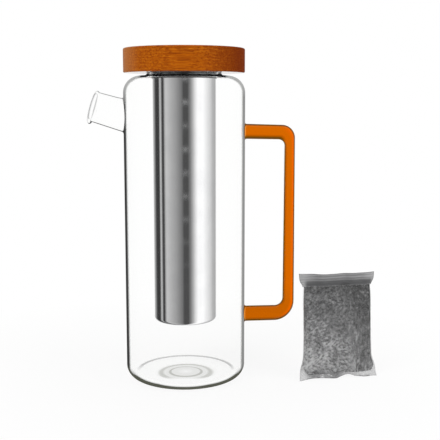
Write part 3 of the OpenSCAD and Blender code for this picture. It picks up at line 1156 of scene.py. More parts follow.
@dataclass
class GlassVessel:
    """The clear glass: wall, floor and spout, fused as one."""

    body_r: float = 50.0
    wall: float = 2.4
    floor_t: float = 4.0
    shoulder_z: float = 252.7
    shoulder_r: float = 14.0
    shoulder_wall: float = 1.3
    heel_r: float = 11.0
    neck_r: float = 27.3
    neck_sweep: float = 4.0
    rim_z: float = 261.7
    rim_edge: float = 0.8
    recess: tuple[Point, ...] = ((13.4, 1.4, 0.8), (22.0, 0.8, 0.0))
    recess_ease: float = 0.7
    recess_steps: int = 6
    foot_r: float = 32.0
    floor_radii: Flat = (24.0, 10.0)
    heel_steps: int = 18
    inner_heel_steps: int = 14
    shoulder_steps: int = 20
    sweep_steps: int = 10
    rim_steps: int = 6
    wall_steps: int = 8
    spout_z: float = 220.4
    spout_tilt: float = 16.5
    spout_len: float = 27.3
    bore_r: float = 10.8
    root_r: float = 13.2
    lip_r: float = 12.4
    bead_r: float = 1.6
    bead_lead: float = 0.2
    bead_clear: float = 0.5
    bead_steps: int = 9
    bead_limit: float = 0.9
    lip_drop: float = 0.7
    lip_turns: tuple[float, ...] = (18.0, 36.0, 54.0, 72.0, 90.0)
    fillet_out: float = 2.2
    fillet_in: float = 1.4
    segments: int = 128
    patch_half: int = 7
    patch_rows: int = 14
    patch_z: Flat = (200.9, 238.1)
    patch_shares: tuple[float, ...] = (0.3, 0.6, 0.82, 1.0)
    fillet_shares: tuple[float, ...] = (0.17, 0.33, 0.5, 0.67, 0.83, 1.0)
    spout_shares: tuple[float, ...] = (0.15, 0.35, 0.6, 0.85, 1.0)
    bore_shares: tuple[float, ...] = (0.2, 0.4, 0.6, 0.8)

    def upright(self, radius: float, start: float, end: float) -> list[Flat]:
        """Points between two heights of a straight wall, without its ends."""
        return [(radius, float(z)) for z in np.linspace(start, end, self.wall_steps + 1)[1:-1]]

    def section(self) -> tuple[list[Flat], int, int]:
        """The wall's section from under the floor, up outside, over the rim and down inside.

        Returns:
            The points, and the numbers of the first points of the spout's patch outside and inside.
        """
        rows = [float(z) for z in np.linspace(*self.patch_z, self.patch_rows + 1)]
        bend = (self.body_r - self.shoulder_r, self.shoulder_z - self.shoulder_r)
        sweep = (self.neck_r + self.wall + self.neck_sweep, self.shoulder_z + self.neck_sweep)
        heel_x = self.body_r - self.heel_r
        inner_r = self.body_r - self.wall
        inner_heel = self.heel_r - self.wall
        inner_heel_z = self.floor_t + inner_heel
        rim_z = self.rim_z - self.rim_edge
        points: list[Flat] = [(0.0, self.recess[0][1])]
        for radius, z_in, z_out in self.recess:
            for t in np.linspace(0, 1, self.recess_steps + 1):
                z = z_in + (z_out - z_in) * smooth_step(float(t))
                points.append((radius + self.recess_ease * (2 * t - 1), z))
        points.append((self.foot_r, 0.0))
        points += arc((heel_x, self.heel_r), self.heel_r, -90, 0, self.heel_steps)
        points += self.upright(self.body_r, self.heel_r, rows[0])
        out_row = len(points)
        points += [(self.body_r, z) for z in rows]
        points += arc(bend, self.shoulder_r, 0, 90, self.shoulder_steps)
        points += arc(sweep, self.neck_sweep, -90, -180, self.sweep_steps)
        rim_x = self.neck_r + self.wall - self.rim_edge
        points += arc((rim_x, rim_z), self.rim_edge, 0, 90, self.rim_steps)
        points += arc((self.neck_r + self.rim_edge, rim_z), self.rim_edge, 90, 180, self.rim_steps)
        thin_sweep = self.neck_sweep + self.shoulder_wall
        points += arc(sweep, self.neck_sweep + self.wall, 180, 270, self.sweep_steps, thin_sweep)
        thin_bend = self.shoulder_r - self.shoulder_wall
        points += arc(bend, self.shoulder_r - self.wall, 90, 0, self.shoulder_steps, thin_bend)
        in_row = len(points)
        points += [(inner_r, z) for z in reversed(rows)]
        points += self.upright(inner_r, rows[0], inner_heel_z)
        points += arc((heel_x, inner_heel_z), inner_heel, 0, -90, self.inner_heel_steps)
        points += [(radius, self.floor_t) for radius in (*self.floor_radii, 0.0)]
        return points, out_row, in_row

    def patch_span(self) -> tuple[int, int]:
        """First and last column of the wall's patch that the spout takes up."""
        return self.segments // 2 - self.patch_half, self.segments // 2 + self.patch_half

    def patch_edge(self, grid: list[list[int]], row_at: Callable[[int], int]) -> list[int]:
        """The points round the spout's patch, anticlockwise from its lower corner.

        Args:
            grid: Numbers of the wall's points, by row and column.
            row_at: Gives the grid's row for a patch row counted from below.

        Returns:
            The points' numbers.
        """
        first, last = self.patch_span()
        rows = self.patch_rows
        low = [grid[row_at(0)][k] for k in range(first, last)]
        right = [grid[row_at(i)][last] for i in range(rows)]
        top = [grid[row_at(rows)][k] for k in range(last, first, -1)]
        left = [grid[row_at(i)][first] for i in range(rows, 0, -1)]
        return low + right + top + left

    def on_spout(self, along: float, radius: float, turn: float) -> np.ndarray:
        """A point on the spout.

        Args:
            along: Distance along the spout's axis from the wall.
            radius: Distance from the axis.
            turn: Turn about the axis.

        Returns:
            The point.
        """
        tilt = math.radians(self.spout_tilt)
        axis = np.array([-math.cos(tilt), 0.0, math.sin(tilt)])
        up = np.array([math.sin(tilt), 0.0, math.cos(tilt)])
        side = np.array([0.0, 1.0, 0.0])
        start = np.array([-self.body_r, 0.0, self.spout_z])
        return start + along * axis + radius * (math.cos(turn) * side + math.sin(turn) * up)

    def meets_wall(self, wall_r: float, radius: float, turn: float) -> float:
        """Where a line on the spout meets the wall.

        Args:
            wall_r: Radius of the wall's face.
            radius: Distance of the line from the spout's axis.
            turn: Its turn about the axis.

        Returns:
            The distance along the axis.
        """
        tilt = math.radians(self.spout_tilt)
        reach = math.sqrt(wall_r**2 - (radius * math.cos(turn)) ** 2)
        return (-self.body_r + radius * math.sin(turn) * math.sin(tilt) + reach) / math.cos(tilt)

    def root_rings(
        self, draft: MeshDraft, edge: list[int], wall_r: float, radius: float, fillet: float
    ) -> tuple[list[list[int]], list[float], list[float]]:
        """Rings that lead from the patch's edge over the wall and a fillet onto the spout.

        Args:
            draft: Where the points go.
            edge: The points round the patch.
            wall_r: Radius of this face of the wall.
            radius: Radius of this face of the spout.
            fillet: Length of the fillet on both.

        Returns:
            The rings, the turn of each line about the spout, and where it leaves the fillet.
        """

        def rolled(flat: np.ndarray) -> np.ndarray:
            """A point of the unrolled wall, rolled up again."""
            turn = flat[0] / wall_r
            return np.array([-wall_r * math.cos(turn), wall_r * math.sin(turn), flat[1]])

        turns: list[float] = []
        starts: list[float] = []
        lines: list[list[np.ndarray]] = []
        for number in edge:
            _, y, z = draft.points[number]
            at = np.array([wall_r * math.asin(y / wall_r), z])
            turn = math.atan2(z - self.spout_z, at[0])
            along = self.meets_wall(wall_r, radius, turn)
            corner = self.on_spout(along, radius, turn)
            corner_at = np.array([wall_r * math.asin(corner[1] / wall_r), corner[2]])
            out = corner_at - np.array([0.0, self.spout_z])
            foot_at = corner_at + fillet * out / np.linalg.norm(out)
            line = [rolled(at + u * (foot_at - at)) for u in self.patch_shares]
            foot, head = line[-1], self.on_spout(along + fillet, radius, turn)
            for u in self.fillet_shares:
                line.append((1 - u) ** 2 * foot + 2 * u * (1 - u) * corner + u * u * head)
            lines.append(line)
            turns.append(turn)
            starts.append(along + fillet)
        return [draft.ring(ring) for ring in zip(*lines)], turns, starts

    def lip_line(self, turn: float, start: float) -> list[np.ndarray]:
        """The spout's own section at one turn, from its root outside, round the lip and back inside.

        Args:
            turn: Turn about the spout's axis.
            start: Where the root's fillet ends outside.

        Returns:
            Points from root to lip and down the bore, without the bore's last point.
        """
        bead_at = self.spout_len - self.bead_r
        middle = self.bore_r + self.bead_r - self.lip_drop * math.sin(turn)
        taper = (self.lip_r - self.root_r) / self.spout_len
        meets = (self.lip_r - middle) / self.bead_r
        meets = max(-self.bead_limit, min(self.bead_limit, meets))
        first = math.pi - math.asin(meets) - self.bead_lead
        end = bead_at + self.bead_r * math.cos(first) - self.bead_clear
        line: list[Flat] = []
        for share in self.spout_shares:
            along = start + share * (end - start)
            line.append((along, self.root_r + taper * along))
        for psi in np.linspace(first, 0, self.bead_steps + 1):
            line.append((bead_at + self.bead_r * math.cos(psi), middle + self.bead_r * math.sin(psi)))
        for psi in np.radians(self.lip_turns):
            inward = (middle - self.bore_r) * math.sin(psi)
            line.append((bead_at + self.bead_r * math.cos(psi), middle - inward))
        return [self.on_spout(along, radius, turn) for along, radius in line]

    def wall_grid(self, draft: MeshDraft) -> tuple[list[int], list[int]]:
        """Turns the section about the axis, and leaves the spout's patch open.

        Args:
            draft: Where the points and faces go.

        Returns:
            The points round the patch outside and inside.
        """
        points, out_row, in_row = self.section()
        turns = [2 * math.pi * k / self.segments for k in range(self.segments)]
        grid = [
            draft.ring([(r * math.cos(t), r * math.sin(t), z) for t in turns] if r else [(0.0, 0.0, z)])
            for r, z in points
        ]
        first, last = self.patch_span()
        rows = self.patch_rows
        for j, (a, b) in enumerate(zip(grid, grid[1:])):
            if len(a) == 1 or len(b) == 1:
                draft.fan(b if len(a) == 1 else a, a[0] if len(a) == 1 else b[0])
                continue
            open_row = out_row <= j < out_row + rows or in_row <= j < in_row + rows
            for k in range(self.segments):
                if not (open_row and first <= k < last):
                    n = (k + 1) % self.segments
                    draft.faces.append((a[k], a[n], b[n], b[k]))
        outer = self.patch_edge(grid, lambda i: out_row + i)
        return outer, self.patch_edge(grid, lambda i: in_row + rows - i)

    def build(self, finishes: Finishes) -> Piece:
        """Makes the vessel as one closed mesh.

        Args:
            finishes: The part's finishes.

        Returns:
            The piece, riding on the jug.
        """
        draft = MeshDraft("glass_vessel")
        outer, inner = self.wall_grid(draft)
        out_rings, turns, out_starts = self.root_rings(
            draft, outer, self.body_r, self.root_r, self.fillet_out
        )
        in_rings, _, in_starts = self.root_rings(
            draft, inner, self.body_r - self.wall, self.bore_r, self.fillet_in
        )
        lines = [self.lip_line(turn, start) for turn, start in zip(turns, out_starts, strict=True)]
        spout = [draft.ring(ring) for ring in zip(*lines)]
        bead_at = self.spout_len - self.bead_r
        bore = [
            draft.ring(
                self.on_spout(bead_at + share * (start - bead_at), self.bore_r, turn)
                for turn, start in zip(turns, in_starts, strict=True)
            )
            for share in self.bore_shares
        ]
        draft.skin([outer, *out_rings, *spout, *bore, *reversed(in_rings), inner])
        piece = draft.piece(finishes.clear_glass)
        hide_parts("glass_base", "glass_body", "pour_spout")
        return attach(piece, Body.JUG.value)


@dataclass
class AmberHandle:
    """One bent and tapered rod of amber glass, fused to the wall at both ends."""

    wall_r: float = 50.0
    seam: float = 0.04
    top_z: float = 207.4
    low_z: float = 53.5
    lean: float = 0.6
    grip_x: float = 87.0
    root_top: float = 6.15
    arm_top: float = 5.95
    rod_top: float = 4.25
    rod_low: float = 4.7
    arm_low: float = 6.35
    root_low: float = 6.45
    bend_top: Flat = (5.1, 10.8)
    bend_low: Flat = (7.0, 17.0)
    flare: float = 1.2
    sides: int = 48
    root_steps: int = 7
    bend_steps: int = 16
    run_steps: tuple[int, ...] = (6, 16, 6)

    def section(self, inner: Sequence[float], outer: Sequence[float], half_y: float) -> np.ndarray:
        """An oval section of the rod.

        Args:
            inner: Its point next to the jug, in X and Z.
            outer: Its point on the outside.
            half_y: Half of its width across.

        Returns:
            The section's points.
        """
        turn = 2 * math.pi * np.arange(self.sides) / self.sides
        middle = (np.array(inner) + np.array(outer)) / 2
        reach = (np.array(outer) - np.array(inner)) / 2
        x = middle[0] + reach[0] * np.cos(turn)
        z = middle[1] + reach[1] * np.cos(turn)
        return np.stack([x, -half_y * np.sin(turn), z], axis=1)

    def root(self, z: float, radius: float, out: int) -> list[np.ndarray]:
        """Sections of an arm's flare, which follow the wall.

        Args:
            z: Height of the arm.
            radius: Its radius past the flare.
            out: 1 for the upper arm, -1 for the lower one.

        Returns:
            The sections from the wall outwards.
        """
        found: list[np.ndarray] = []
        for a in np.radians(np.linspace(0, 90, self.root_steps + 1)):
            r = radius + self.flare * (1 - math.sin(a))
            ring = self.section((0.0, z - out * r), (0.0, z + out * r), r)
            wall_x = np.sqrt(self.wall_r**2 - ring[:, 1] ** 2)
            ring[:, 0] = wall_x + self.seam + self.flare * (1 - math.cos(a))
            found.append(ring)
        return found

    def bend(self, z: float, arm: float, rod: float, radii: Flat, out: int) -> list[np.ndarray]:
        """Sections round the quarter bend between an arm and the grip.

        Args:
            z: Height of the arm's end.
            arm: The arm's radius there.
            rod: The grip's radius there.
            radii: Radius of the bend's inner and outer line.
            out: 1 for the upper bend, -1 for the lower one.

        Returns:
            The sections from top to bottom.
        """
        inside, outside = radii
        inner_at = np.array([self.grip_x - rod - inside, z - out * (arm + inside)])
        outer_at = np.array([self.grip_x + rod - outside, z + out * (arm - outside)])
        start, ends = (90, (arm, rod)) if out > 0 else (0, (rod, arm))
        found: list[np.ndarray] = []
        for t in np.linspace(0, 1, self.bend_steps + 1):
            a = math.radians(start - 90 * float(t))
            way = np.array([math.cos(a), math.sin(a)])
            half_y = ends[0] + (ends[1] - ends[0]) * float(t)
            found.append(self.section(inner_at + inside * way, outer_at + outside * way, half_y))
        return found

    def path(self) -> list[np.ndarray]:
        """All sections of the rod from its upper to its lower root.

        Returns:
            The sections in order.
        """
        runs = [
            self.root(self.top_z, self.root_top, 1),
            self.bend(self.top_z - self.lean, self.arm_top, self.rod_top, self.bend_top, 1),
            self.bend(self.low_z + self.lean, self.arm_low, self.rod_low, self.bend_low, -1),
            self.root(self.low_z, self.root_low, -1)[::-1],
        ]
        found = list(runs[0])
        for before, after, steps in zip(runs, runs[1:], self.run_steps):
            for v in np.linspace(0, 1, steps + 1)[1:-1]:
                found.append(before[-1] * (1 - v) + after[0] * v)
            found += after
        return found

    def build(self, finishes: Finishes) -> Piece:
        """Sweeps the rod from root to root.

        Args:
            finishes: The part's finishes.

        Returns:
            The piece, riding on the jug.
        """
        draft = MeshDraft("amber_handle")
        rings = [draft.ring(points) for points in self.path()]
        draft.skin(rings)
        for ring, z in ((rings[0], self.top_z), (rings[-1], self.low_z)):
            middle = draft.ring([(self.wall_r + self.seam, 0.0, z)])[0]
            inset = draft.ring(
                (math.sqrt(self.wall_r**2 - (y / 2) ** 2) + self.seam, y / 2, (z + h) / 2)
                for _, y, h in [draft.points[n] for n in ring]
            )
            draft.skin([ring, inset])
            draft.fan(inset, middle)
        piece = draft.piece(finishes.amber_glass)
        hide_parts("handle")
        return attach(piece, Body.JUG.value)


def dress_node(name: str, finish: Material) -> Piece:
    """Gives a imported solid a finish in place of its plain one.

    Args:
        name: The solid's name.
        finish: Its new material.

    Returns:
        The solid's object.
    """
    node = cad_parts[name]
    node.data.materials.clear()
    node.data.materials.append(finish)
    return node


@dataclass
class FilterUnit:
    """The steel tube with its strainer, its flange and its silicone sleeve."""

    steel_nodes: tuple[str, ...] = ("filter_tube", "strainer_cap", "tube_flange")
    seal_node: str = "neck_seal"

    def dress(self, finishes: Finishes) -> list[Piece]:
        """Gives the unit's solids their finishes and returns them."""
        done = [dress_node(name, finishes.steel) for name in self.steel_nodes]
        return [*done, dress_node(self.seal_node, finishes.black_silicone)]


@dataclass
class WoodLid:
    """The turned disc, its plug and the ring in the plug's groove."""

    wood_nodes: tuple[str, ...] = ("lid_disc", "lid_plug")
    ring_node: str = "lid_seal"

    def dress(self, finishes: Finishes) -> list[Piece]:
        """Gives the lid's solids their finishes and returns them."""
        done = [dress_node(name, finishes.wood) for name in self.wood_nodes]
        return [*done, dress_node(self.ring_node, finishes.pale_silicone)]


@dataclass
class FilterPouch:
    """The filter bag: two fibre sheets sealed at both ends, blown out by the granules in it."""

    middle: Flat = (128.76, -8.2)
    turn: float = 12.4
    lean: float = 2.3
    height: float = 90.6
    top_w: float = 64.6
    low_w: float = 67.5
    thickness: float = 22.0
    top_strip: float = 10.0
    low_strip: float = 2.4
    strip_ease: float = 6.0
    sheet_gap: float = 0.3
    first_bulge: float = 2.5
    first_ripple: float = 0.5
    ripple_close: float = 0.16
    ripple_apart: float = 3.0
    columns: int = 34
    rows: int = 48
    steps: int = 26
    pressure: float = 2.5
    scale_up: float = 10.0
    cloth_values: tuple[tuple[str, object], ...] = (
        ("quality", 7),
        ("mass", 0.15),
        ("tension_stiffness", 30.0),
        ("compression_stiffness", 12.0),
        ("shear_stiffness", 6.0),
        ("bending_stiffness", 0.15),
        ("air_damping", 4.0),
        ("use_pressure", True),
        ("vertex_group_mass", "held"),
    )
    drawn_in: tuple[Flat, ...] = (
        (0.0, 34.4), (6.0, 33.4), (10.0, 32.4), (14.0, 31.0), (19.0, 30.1), (26.0, 29.6), (36.0, 29.4),
        (58.0, 29.5), (70.0, 29.7), (77.7, 29.4), (80.7, 29.4), (82.7, 31.2), (85.2, 32.3), (90.6, 32.6),
    )
    low_rise: tuple[Flat, ...] = (
        (-33.7, 0.0), (-27.3, 0.8), (-16.4, 1.7), (-1.1, 0.3), (3.3, 1.8), (9.2, 3.6), (14.4, 1.4),
        (24.1, 0.4), (33.7, 0.0),
    )
    top_dip: tuple[Flat, ...] = ((-32.3, 0.5), (-7.0, -0.8), (8.0, -0.6), (32.3, -0.4))
    low_reach: float = 16.0
    top_reach: Flat = (16.0, 14.0)
    right_more: float = 0.04
    right_from: float = 12.0
    lumps: tuple[tuple[float, Point, float], ...] = (
        (0.55, (0.3, 0.3, 0.3), 0.0),
        (0.3, (0.8, 0.8, 0.5), 9.0),
    )
    sways: tuple[tuple[float, float, float, float], ...] = (
        (0.9, 0.21, 0.0, 0.6),
        (0.4, 0.47, 0.05, 0.0),
    )
    hem_out: float = 4.0
    hem_reach: float = 14.0
    heap_left: tuple[Flat, ...] = ((0.0, 25.0), (5.0, 28.0), (11.0, 30.5), (16.0, 40.0))
    heap_right: tuple[Flat, ...] = ((0.0, 26.0), (4.0, 29.5), (8.0, 32.0), (12.0, 40.0))
    heap_lift: float = 1.2
    heap_inset: float = 0.9
    heap_rough: float = 0.3
    heap_close: float = 0.55
    heap_narrow: float = 0.985

    def half_width(self, z: float) -> float:
        """Half of the flat bag's width at a height."""
        return (self.low_w + (self.top_w - self.low_w) * z / self.height) / 2

    def fill_at(self, z: float) -> float:
        """1 between the strips, falling to 0 at them."""
        low = smooth_step((z - self.low_strip) / self.strip_ease)
        return low * smooth_step((self.height - self.top_strip - z) / self.strip_ease)

    def start_points(self) -> tuple[np.ndarray, list[Place]]:
        """The nearly flat bag before it is filled.

        Returns:
            Its points, and for each the column, the row and the side it lies on: 1 front, -1 back, 0 both.
        """
        points: list[Point] = []
        places: list[Place] = []
        for side in (1, -1):
            for j in range(self.rows + 1):
                for i in range(self.columns + 1):
                    edge = i in (0, self.columns) or j in (0, self.rows)
                    if edge and side < 0:
                        continue
                    z = self.height * j / self.rows
                    x = self.half_width(z) * (2 * i / self.columns - 1)
                    bulge = math.sin(math.pi * i / self.columns) * self.fill_at(z) * self.first_bulge
                    at = Vector((x * self.ripple_close, z * self.ripple_close, self.ripple_apart * side))
                    ripple = self.first_ripple * noise.noise(at) * self.fill_at(z)
                    y = 0.0 if edge else -side * (self.sheet_gap / 2 + bulge) + ripple
                    points.append((x, y, z))
                    places.append((i, j, 0 if edge else side))
        return np.array(points), places

    def finder(self, places: list[Place]) -> Callable[[int, int, int], int]:
        """A way to find a sheet's point by column, row and side, also where both sheets share it."""
        number = {place: n for n, place in enumerate(places)}
        return lambda i, j, side: number.get((i, j, side), number.get((i, j, 0), -1))

    def faces(self, places: list[Place]) -> list[tuple[int, ...]]:
        """The faces of both sheets.

        Args:
            places: Column, row and side of each point.

        Returns:
            Four-sided faces that close the bag.
        """
        find = self.finder(places)
        found: list[tuple[int, ...]] = []
        for side in (1, -1):
            for j in range(self.rows):
                for i in range(self.columns):
                    around = ((i, j), (i + 1, j), (i + 1, j + 1), (i, j + 1))
                    corners = [find(column, row, side) for column, row in around]
                    found.append(tuple(corners if side > 0 else reversed(corners)))
        return found

    def blow_out(self, points: np.ndarray, places: list[Place]) -> np.ndarray:
        """Fills the bag by pressure in a cloth simulation, with its sealed strips held.

        Args:
            points: The flat bag's points.
            places: Column, row and side of each point.

        Returns:
            The points of the filled bag.
        """
        mesh = bpy.data.meshes.new("bag_in_work")
        mesh.from_pydata([tuple(p) for p in points * MM * self.scale_up], [], self.faces(places))
        obj = bpy.data.objects.new("bag_in_work", mesh)
        scene = bpy.context.scene
        scene.collection.objects.link(obj)
        held = obj.vertex_groups.new(name="held")
        for n, z in enumerate(points[:, 2]):
            if z <= self.low_strip or z >= self.height - self.top_strip:
                held.add([n], 1.0, "REPLACE")
        cloth = obj.modifiers.new("cloth", "CLOTH")
        for name, value in self.cloth_values:
            setattr(cloth.settings, name, value)
        cloth.settings.uniform_pressure_force = self.pressure
        cloth.settings.effector_weights.gravity = 0.0
        cloth.point_cache.frame_start = 1
        cloth.point_cache.frame_end = self.steps
        for step in range(1, self.steps + 1):
            scene.frame_set(step)
        done = obj.evaluated_get(bpy.context.evaluated_depsgraph_get())
        flat = np.zeros(len(points) * 3)
        done.data.vertices.foreach_get("co", flat)
        result = flat.reshape(-1, 3) / (MM * self.scale_up)
        bpy.data.objects.remove(obj)
        bpy.data.meshes.remove(mesh)
        scene.frame_set(1)
        return result

    def lump_at(self, x: float, y: float, z: float) -> float:
        """How far the granules push a sheet out at a place, by the height and closeness of the lumps."""
        return sum(
            height * noise.noise(Vector((x * close[0], y * close[1] + shift, z * close[2])))
            for height, close, shift in self.lumps
        )

    def sway_at(self, x: float, z: float, fill: float) -> float:
        """How far the sealed strips wave to and fro, and the hem turns forward, at a place."""
        wave = sum(size * math.sin(x * across + z * up + shift) for size, across, up, shift in self.sways)
        return (1 - fill) * wave - self.hem_out * max(0.0, 1 - z / self.hem_reach) ** 2

    def shaped(self) -> tuple[np.ndarray, list[Place]]:
        """The filled bag about its own middle, with its drawn-in sides, wavy ends and lumps.

        Returns:
            Its points, and the column, row and side of each.
        """
        flat, places = self.start_points()
        full = self.blow_out(flat, places)
        full[:, 1] *= self.thickness / 2 / np.abs(full[:, 1]).max()
        reach: dict[int, float] = {}
        for (i, j, _), (x, _, _) in zip(places, full, strict=True):
            if i in (0, self.columns):
                reach[j] = reach.get(j, 0.0) + abs(x) / 2
        for n, (x, y, z) in enumerate(full.copy()):
            x *= look_up(self.drawn_in, z) / reach[places[n][1]]
            if x > 0:
                x *= 1 + self.right_more * smooth_step(z / self.right_from)
            low_share = 1 - smooth_step(z / self.low_reach)
            top_share = smooth_step((z - self.height + self.top_reach[0]) / self.top_reach[1])
            lift = look_up(self.low_rise, x) * low_share + look_up(self.top_dip, x) * top_share
            fill = self.fill_at(z)
            lump = math.copysign(self.lump_at(x, y, z) * fill, y) if y else 0.0
            full[n] = (x - self.lean * z / self.height, y + lump + self.sway_at(x, z, fill), z + lift)
        full[:, 2] -= full[:, 2].min()
        full[:, 2] *= self.height / full[:, 2].max()
        return full, places

    def crease_rim(self, bag: Piece) -> None:
        """Keeps the rim where the two sheets meet sharp when the bag is rounded.

        Args:
            bag: The bag.
        """
        work = bmesh.new()
        work.from_mesh(bag.data)
        layer = work.edges.layers.float.new("crease_edge")
        for edge in work.edges:
            sides = [face.normal for face in edge.link_faces]
            if len(sides) == 2 and sides[0].y * sides[1].y < 0:
                edge[layer] = 1.0
        work.to_mesh(bag.data)
        work.free()

    def round_and_stand(self, piece: Piece) -> None:
        """Rounds a piece made about the bag's own middle and puts it in its place beside the jug.

        Args:
            piece: The bag or its filling.
        """
        piece.modifiers.new("rounding", "SUBSURF").render_levels = 1
        piece.location = (self.middle[0] * MM, self.middle[1] * MM, 0.0)
        piece.rotation_euler = (0.0, 0.0, math.radians(self.turn))
        bpy.context.view_layer.update()

    def build(self, finishes: Finishes) -> tuple[Piece, Piece]:
        """Makes the bag and the heap of granules inside it.

        Args:
            finishes: The part's finishes.

        Returns:
            The bag and its filling, riding on the pouch's body.
        """
        points, places = self.shaped()
        draft = MeshDraft("pouch_sheets")
        draft.ring(points)
        draft.faces = self.faces(places)
        bag = draft.piece(finishes.film)
        self.crease_rim(bag)
        self.round_and_stand(bag)
        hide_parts("pouch_bag")
        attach(bag, Body.POUCH.value)
        return bag, self.filling(points, places, finishes)

    def heap_ring(self, front: list[np.ndarray], back: list[np.ndarray], z: float) -> list[Point]:
        """One level of the heap, just inside the sheets and short of the bag's lower corners.

        Args:
            front: The front sheet's points at this level.
            back: The back sheet's.
            z: Height of the level in the flat bag.

        Returns:
            The level's points, once round.
        """
        middle = float(np.mean([p[0] for p in front]))
        left, right = look_up(self.heap_left, z), look_up(self.heap_right, z)
        pairs = list(zip(front, back, strict=True))
        loop: list[Point] = []
        for p, other in [*pairs, *((b, f) for f, b in reversed(pairs[1:-1]))]:
            inward = (other[1] - p[1]) / 2
            inset = self.heap_inset + self.heap_rough * noise.noise(Vector(p * self.heap_close))
            step = math.copysign(min(inset, 0.5 * abs(inward)), inward)
            across = max(-left, min(right, (p[0] - middle) * self.heap_narrow))
            loop.append((middle + across, p[1] + step, p[2]))
        return loop

    def filling(self, points: np.ndarray, places: list[Place], finishes: Finishes) -> Piece:
        """Makes the granules as a closed lumpy heap.

        Args:
            points: The bag's points.
            places: Column, row and side of each.
            finishes: The part's finishes.

        Returns:
            The filling, riding on the pouch's body.
        """
        draft = MeshDraft("granule_filling")
        find = self.finder(places)
        low = math.ceil((self.low_strip + self.heap_lift) / self.height * self.rows)
        top = math.ceil((self.height - self.top_strip) / self.height * self.rows)
        rings: list[list[int]] = []
        for j in range(low, top + 1):
            front, back = ([points[find(i, j, side)] for i in range(self.columns + 1)] for side in (1, -1))
            rings.append(draft.ring(self.heap_ring(front, back, self.height * j / self.rows)))
        draft.skin(rings)
        for ring in (rings[0], rings[-1]):
            middle = np.mean([draft.points[n] for n in ring], axis=0)
            draft.fan(ring, draft.ring([middle])[0])
        heap = draft.piece(finishes.granules)
        self.round_and_stand(heap)
        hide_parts("filter_media")
        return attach(heap, Body.POUCH.value)


@dataclass(frozen=True)
class Lamp:
    """A square soft lamp: name, place, power in watts and length of its side."""

    name: str
    at: Point
    power: float
    side: float

    def hang(self, aim: Point) -> None:
        """Hangs the lamp.

        Args:
            aim: The place that it points at.
        """
        data = bpy.data.lights.new(self.name, "AREA")
        data.energy = self.power
        data.size = self.side * MM
        lamp = bpy.data.objects.new(self.name, data)
        lamp.location = Vector(self.at) * MM
        lamp.rotation_euler = (Vector(aim) - Vector(self.at)).to_track_quat("-Z", "Y").to_euler()
        lamp.visible_glossy = False
        lamp.visible_transmission = False
        bpy.context.scene.collection.objects.link(lamp)


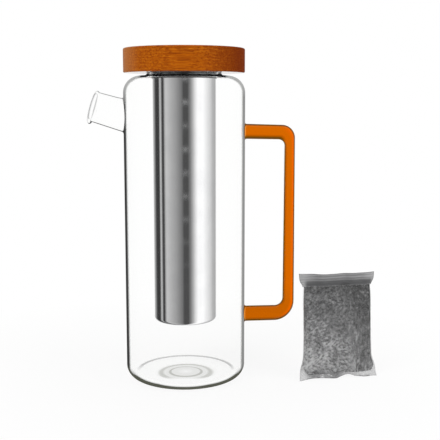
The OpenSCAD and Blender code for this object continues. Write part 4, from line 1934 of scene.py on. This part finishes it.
@dataclass
class Studio:
    """Floor, light and camera."""

    camera_at: Point = (29.33, -720.0, 233.1)
    pitch: float = 7.878
    lens: float = 71.0
    sensor: float = 36.0
    nearest: float = 10.0
    bounces: int = 24
    lamps: tuple[Lamp, ...] = (
        Lamp("key", (-700.0, -900.0, 900.0), 9.0, 700.0),
        Lamp("fill", (900.0, -500.0, 500.0), 4.0, 600.0),
    )
    aim: Point = (40.0, 0.0, 120.0)
    floor_z: float = -0.02
    floor_radii: Point = (400.0, 1500.0, 6000.0)
    floor_sides: int = 48
    soft_level: float = 0.55
    ceiling_level: float = 0.9
    ceiling_rise: Flat = (0.12, 0.4)
    cards: tuple[Flat, ...] = (
        (-180, 0.95), (-165, 0.80), (-152, 0.45), (-144, 0.42), (-134, 0.18), (-125, 0.05), (-106, 0.045),
        (-102, 0.15), (-97, 0.62), (-92, 0.40), (-88, 0.10), (-84, 0.03), (-79, 0.10), (-74, 0.46),
        (-69, 0.60), (-62, 0.57), (-46, 0.46), (-30, 0.36), (-15, 0.24), (-7, 0.18), (-2, 0.08), (14, 0.08),
        (22, 0.22), (31, 0.45), (43, 0.90), (51, 1.12), (72, 1.14), (94, 0.88), (112, 0.70), (126, 0.52),
        (150, 0.44), (180, 0.95),
    )

    def world(self) -> None:
        """White behind everything, a soft level on plain surfaces, and a room of cards in gloss."""
        world = bpy.data.worlds.new("studio")
        bpy.context.scene.world = world
        world.use_nodes = True
        bench = Bench(world.node_tree)
        x, y, z = bench.add("SeparateXYZ", {0: bench.add("TexCoord").outputs["Generated"]}).outputs
        turn = bench.math("ARCTAN2", x, bench.product(y, -1.0))
        round_room = bench.spread(turn, -math.pi, math.pi)
        room = bench.ramp(round_room, [((angle + 180) / 360, grey(level)) for angle, level in self.cards])
        room = bench.mix(bench.spread(z, *self.ceiling_rise), room, grey(self.ceiling_level))
        path = bench.add("LightPath").outputs
        metal = bench.none(path["Is Singular Ray"])
        outer_face = bench.none(path["Transmission Depth"])
        carded = bench.product(bench.some(path["Glossy Depth"]), bench.largest(outer_face, metal))
        shown = bench.mix(carded, grey(1.0), room)
        shown = bench.mix(bench.some(path["Diffuse Depth"]), shown, grey(self.soft_level))
        sky = bench.add("Background", {"Color": shown})
        bench.add("OutputWorld", {"Surface": sky.outputs[0]})

    def floor(self, finishes: Finishes) -> None:
        """Lays the white sweep.

        Args:
            finishes: The part's finishes.
        """
        draft = MeshDraft("white_floor")
        turns = [2 * math.pi * i / self.floor_sides for i in range(self.floor_sides)]
        rings = [
            draft.ring((r * math.cos(turn), r * math.sin(turn), self.floor_z) for turn in turns)
            for r in self.floor_radii
        ]
        draft.skin(rings)
        draft.fan(rings[0], draft.ring([(0.0, 0.0, self.floor_z)])[0])
        floor = draft.piece(finishes.floor)

    def camera(self) -> None:
        """Sets the camera where the photograph was taken from."""
        data = bpy.data.cameras.new("photo_view")
        data.lens = self.lens
        data.sensor_width = self.sensor
        data.clip_start = self.nearest * MM
        camera = bpy.data.objects.new("photo_view", data)
        camera.location = Vector(self.camera_at) * MM
        camera.rotation_euler = (math.radians(90 - self.pitch), 0.0, 0.0)
        bpy.context.scene.collection.objects.link(camera)
        bpy.context.scene.camera = camera

    def build(self, finishes: Finishes) -> None:
        """Sets up the whole studio.

        Args:
            finishes: The part's finishes.
        """
        scene = bpy.context.scene
        scene.view_settings.view_transform = "Standard"
        scene.cycles.max_bounces = self.bounces
        scene.cycles.transmission_bounces = self.bounces
        scene.cycles.transparent_max_bounces = self.bounces
        self.world()
        self.camera()
        self.floor(finishes)
        for lamp in self.lamps:
            lamp.hang(self.aim)


def report(piece: Piece) -> None:
    """Logs a finished piece."""
    LOG.info("%s: %d faces, %s", piece.name, len(piece.data.polygons), piece.data.materials[0].name)


def main() -> None:
    """Builds every piece in order and reports it."""
    logging.basicConfig(level=logging.INFO, format="%(name)s: %(message)s")
    finishes = Finishes()
    Studio().build(finishes)
    report(GlassVessel().build(finishes))
    report(AmberHandle().build(finishes))
    for node in [*FilterUnit().dress(finishes), *WoodLid().dress(finishes)]:
        report(node)
    for piece in FilterPouch().build(finishes):
        report(piece)


if __name__ == "__main__":
    main()
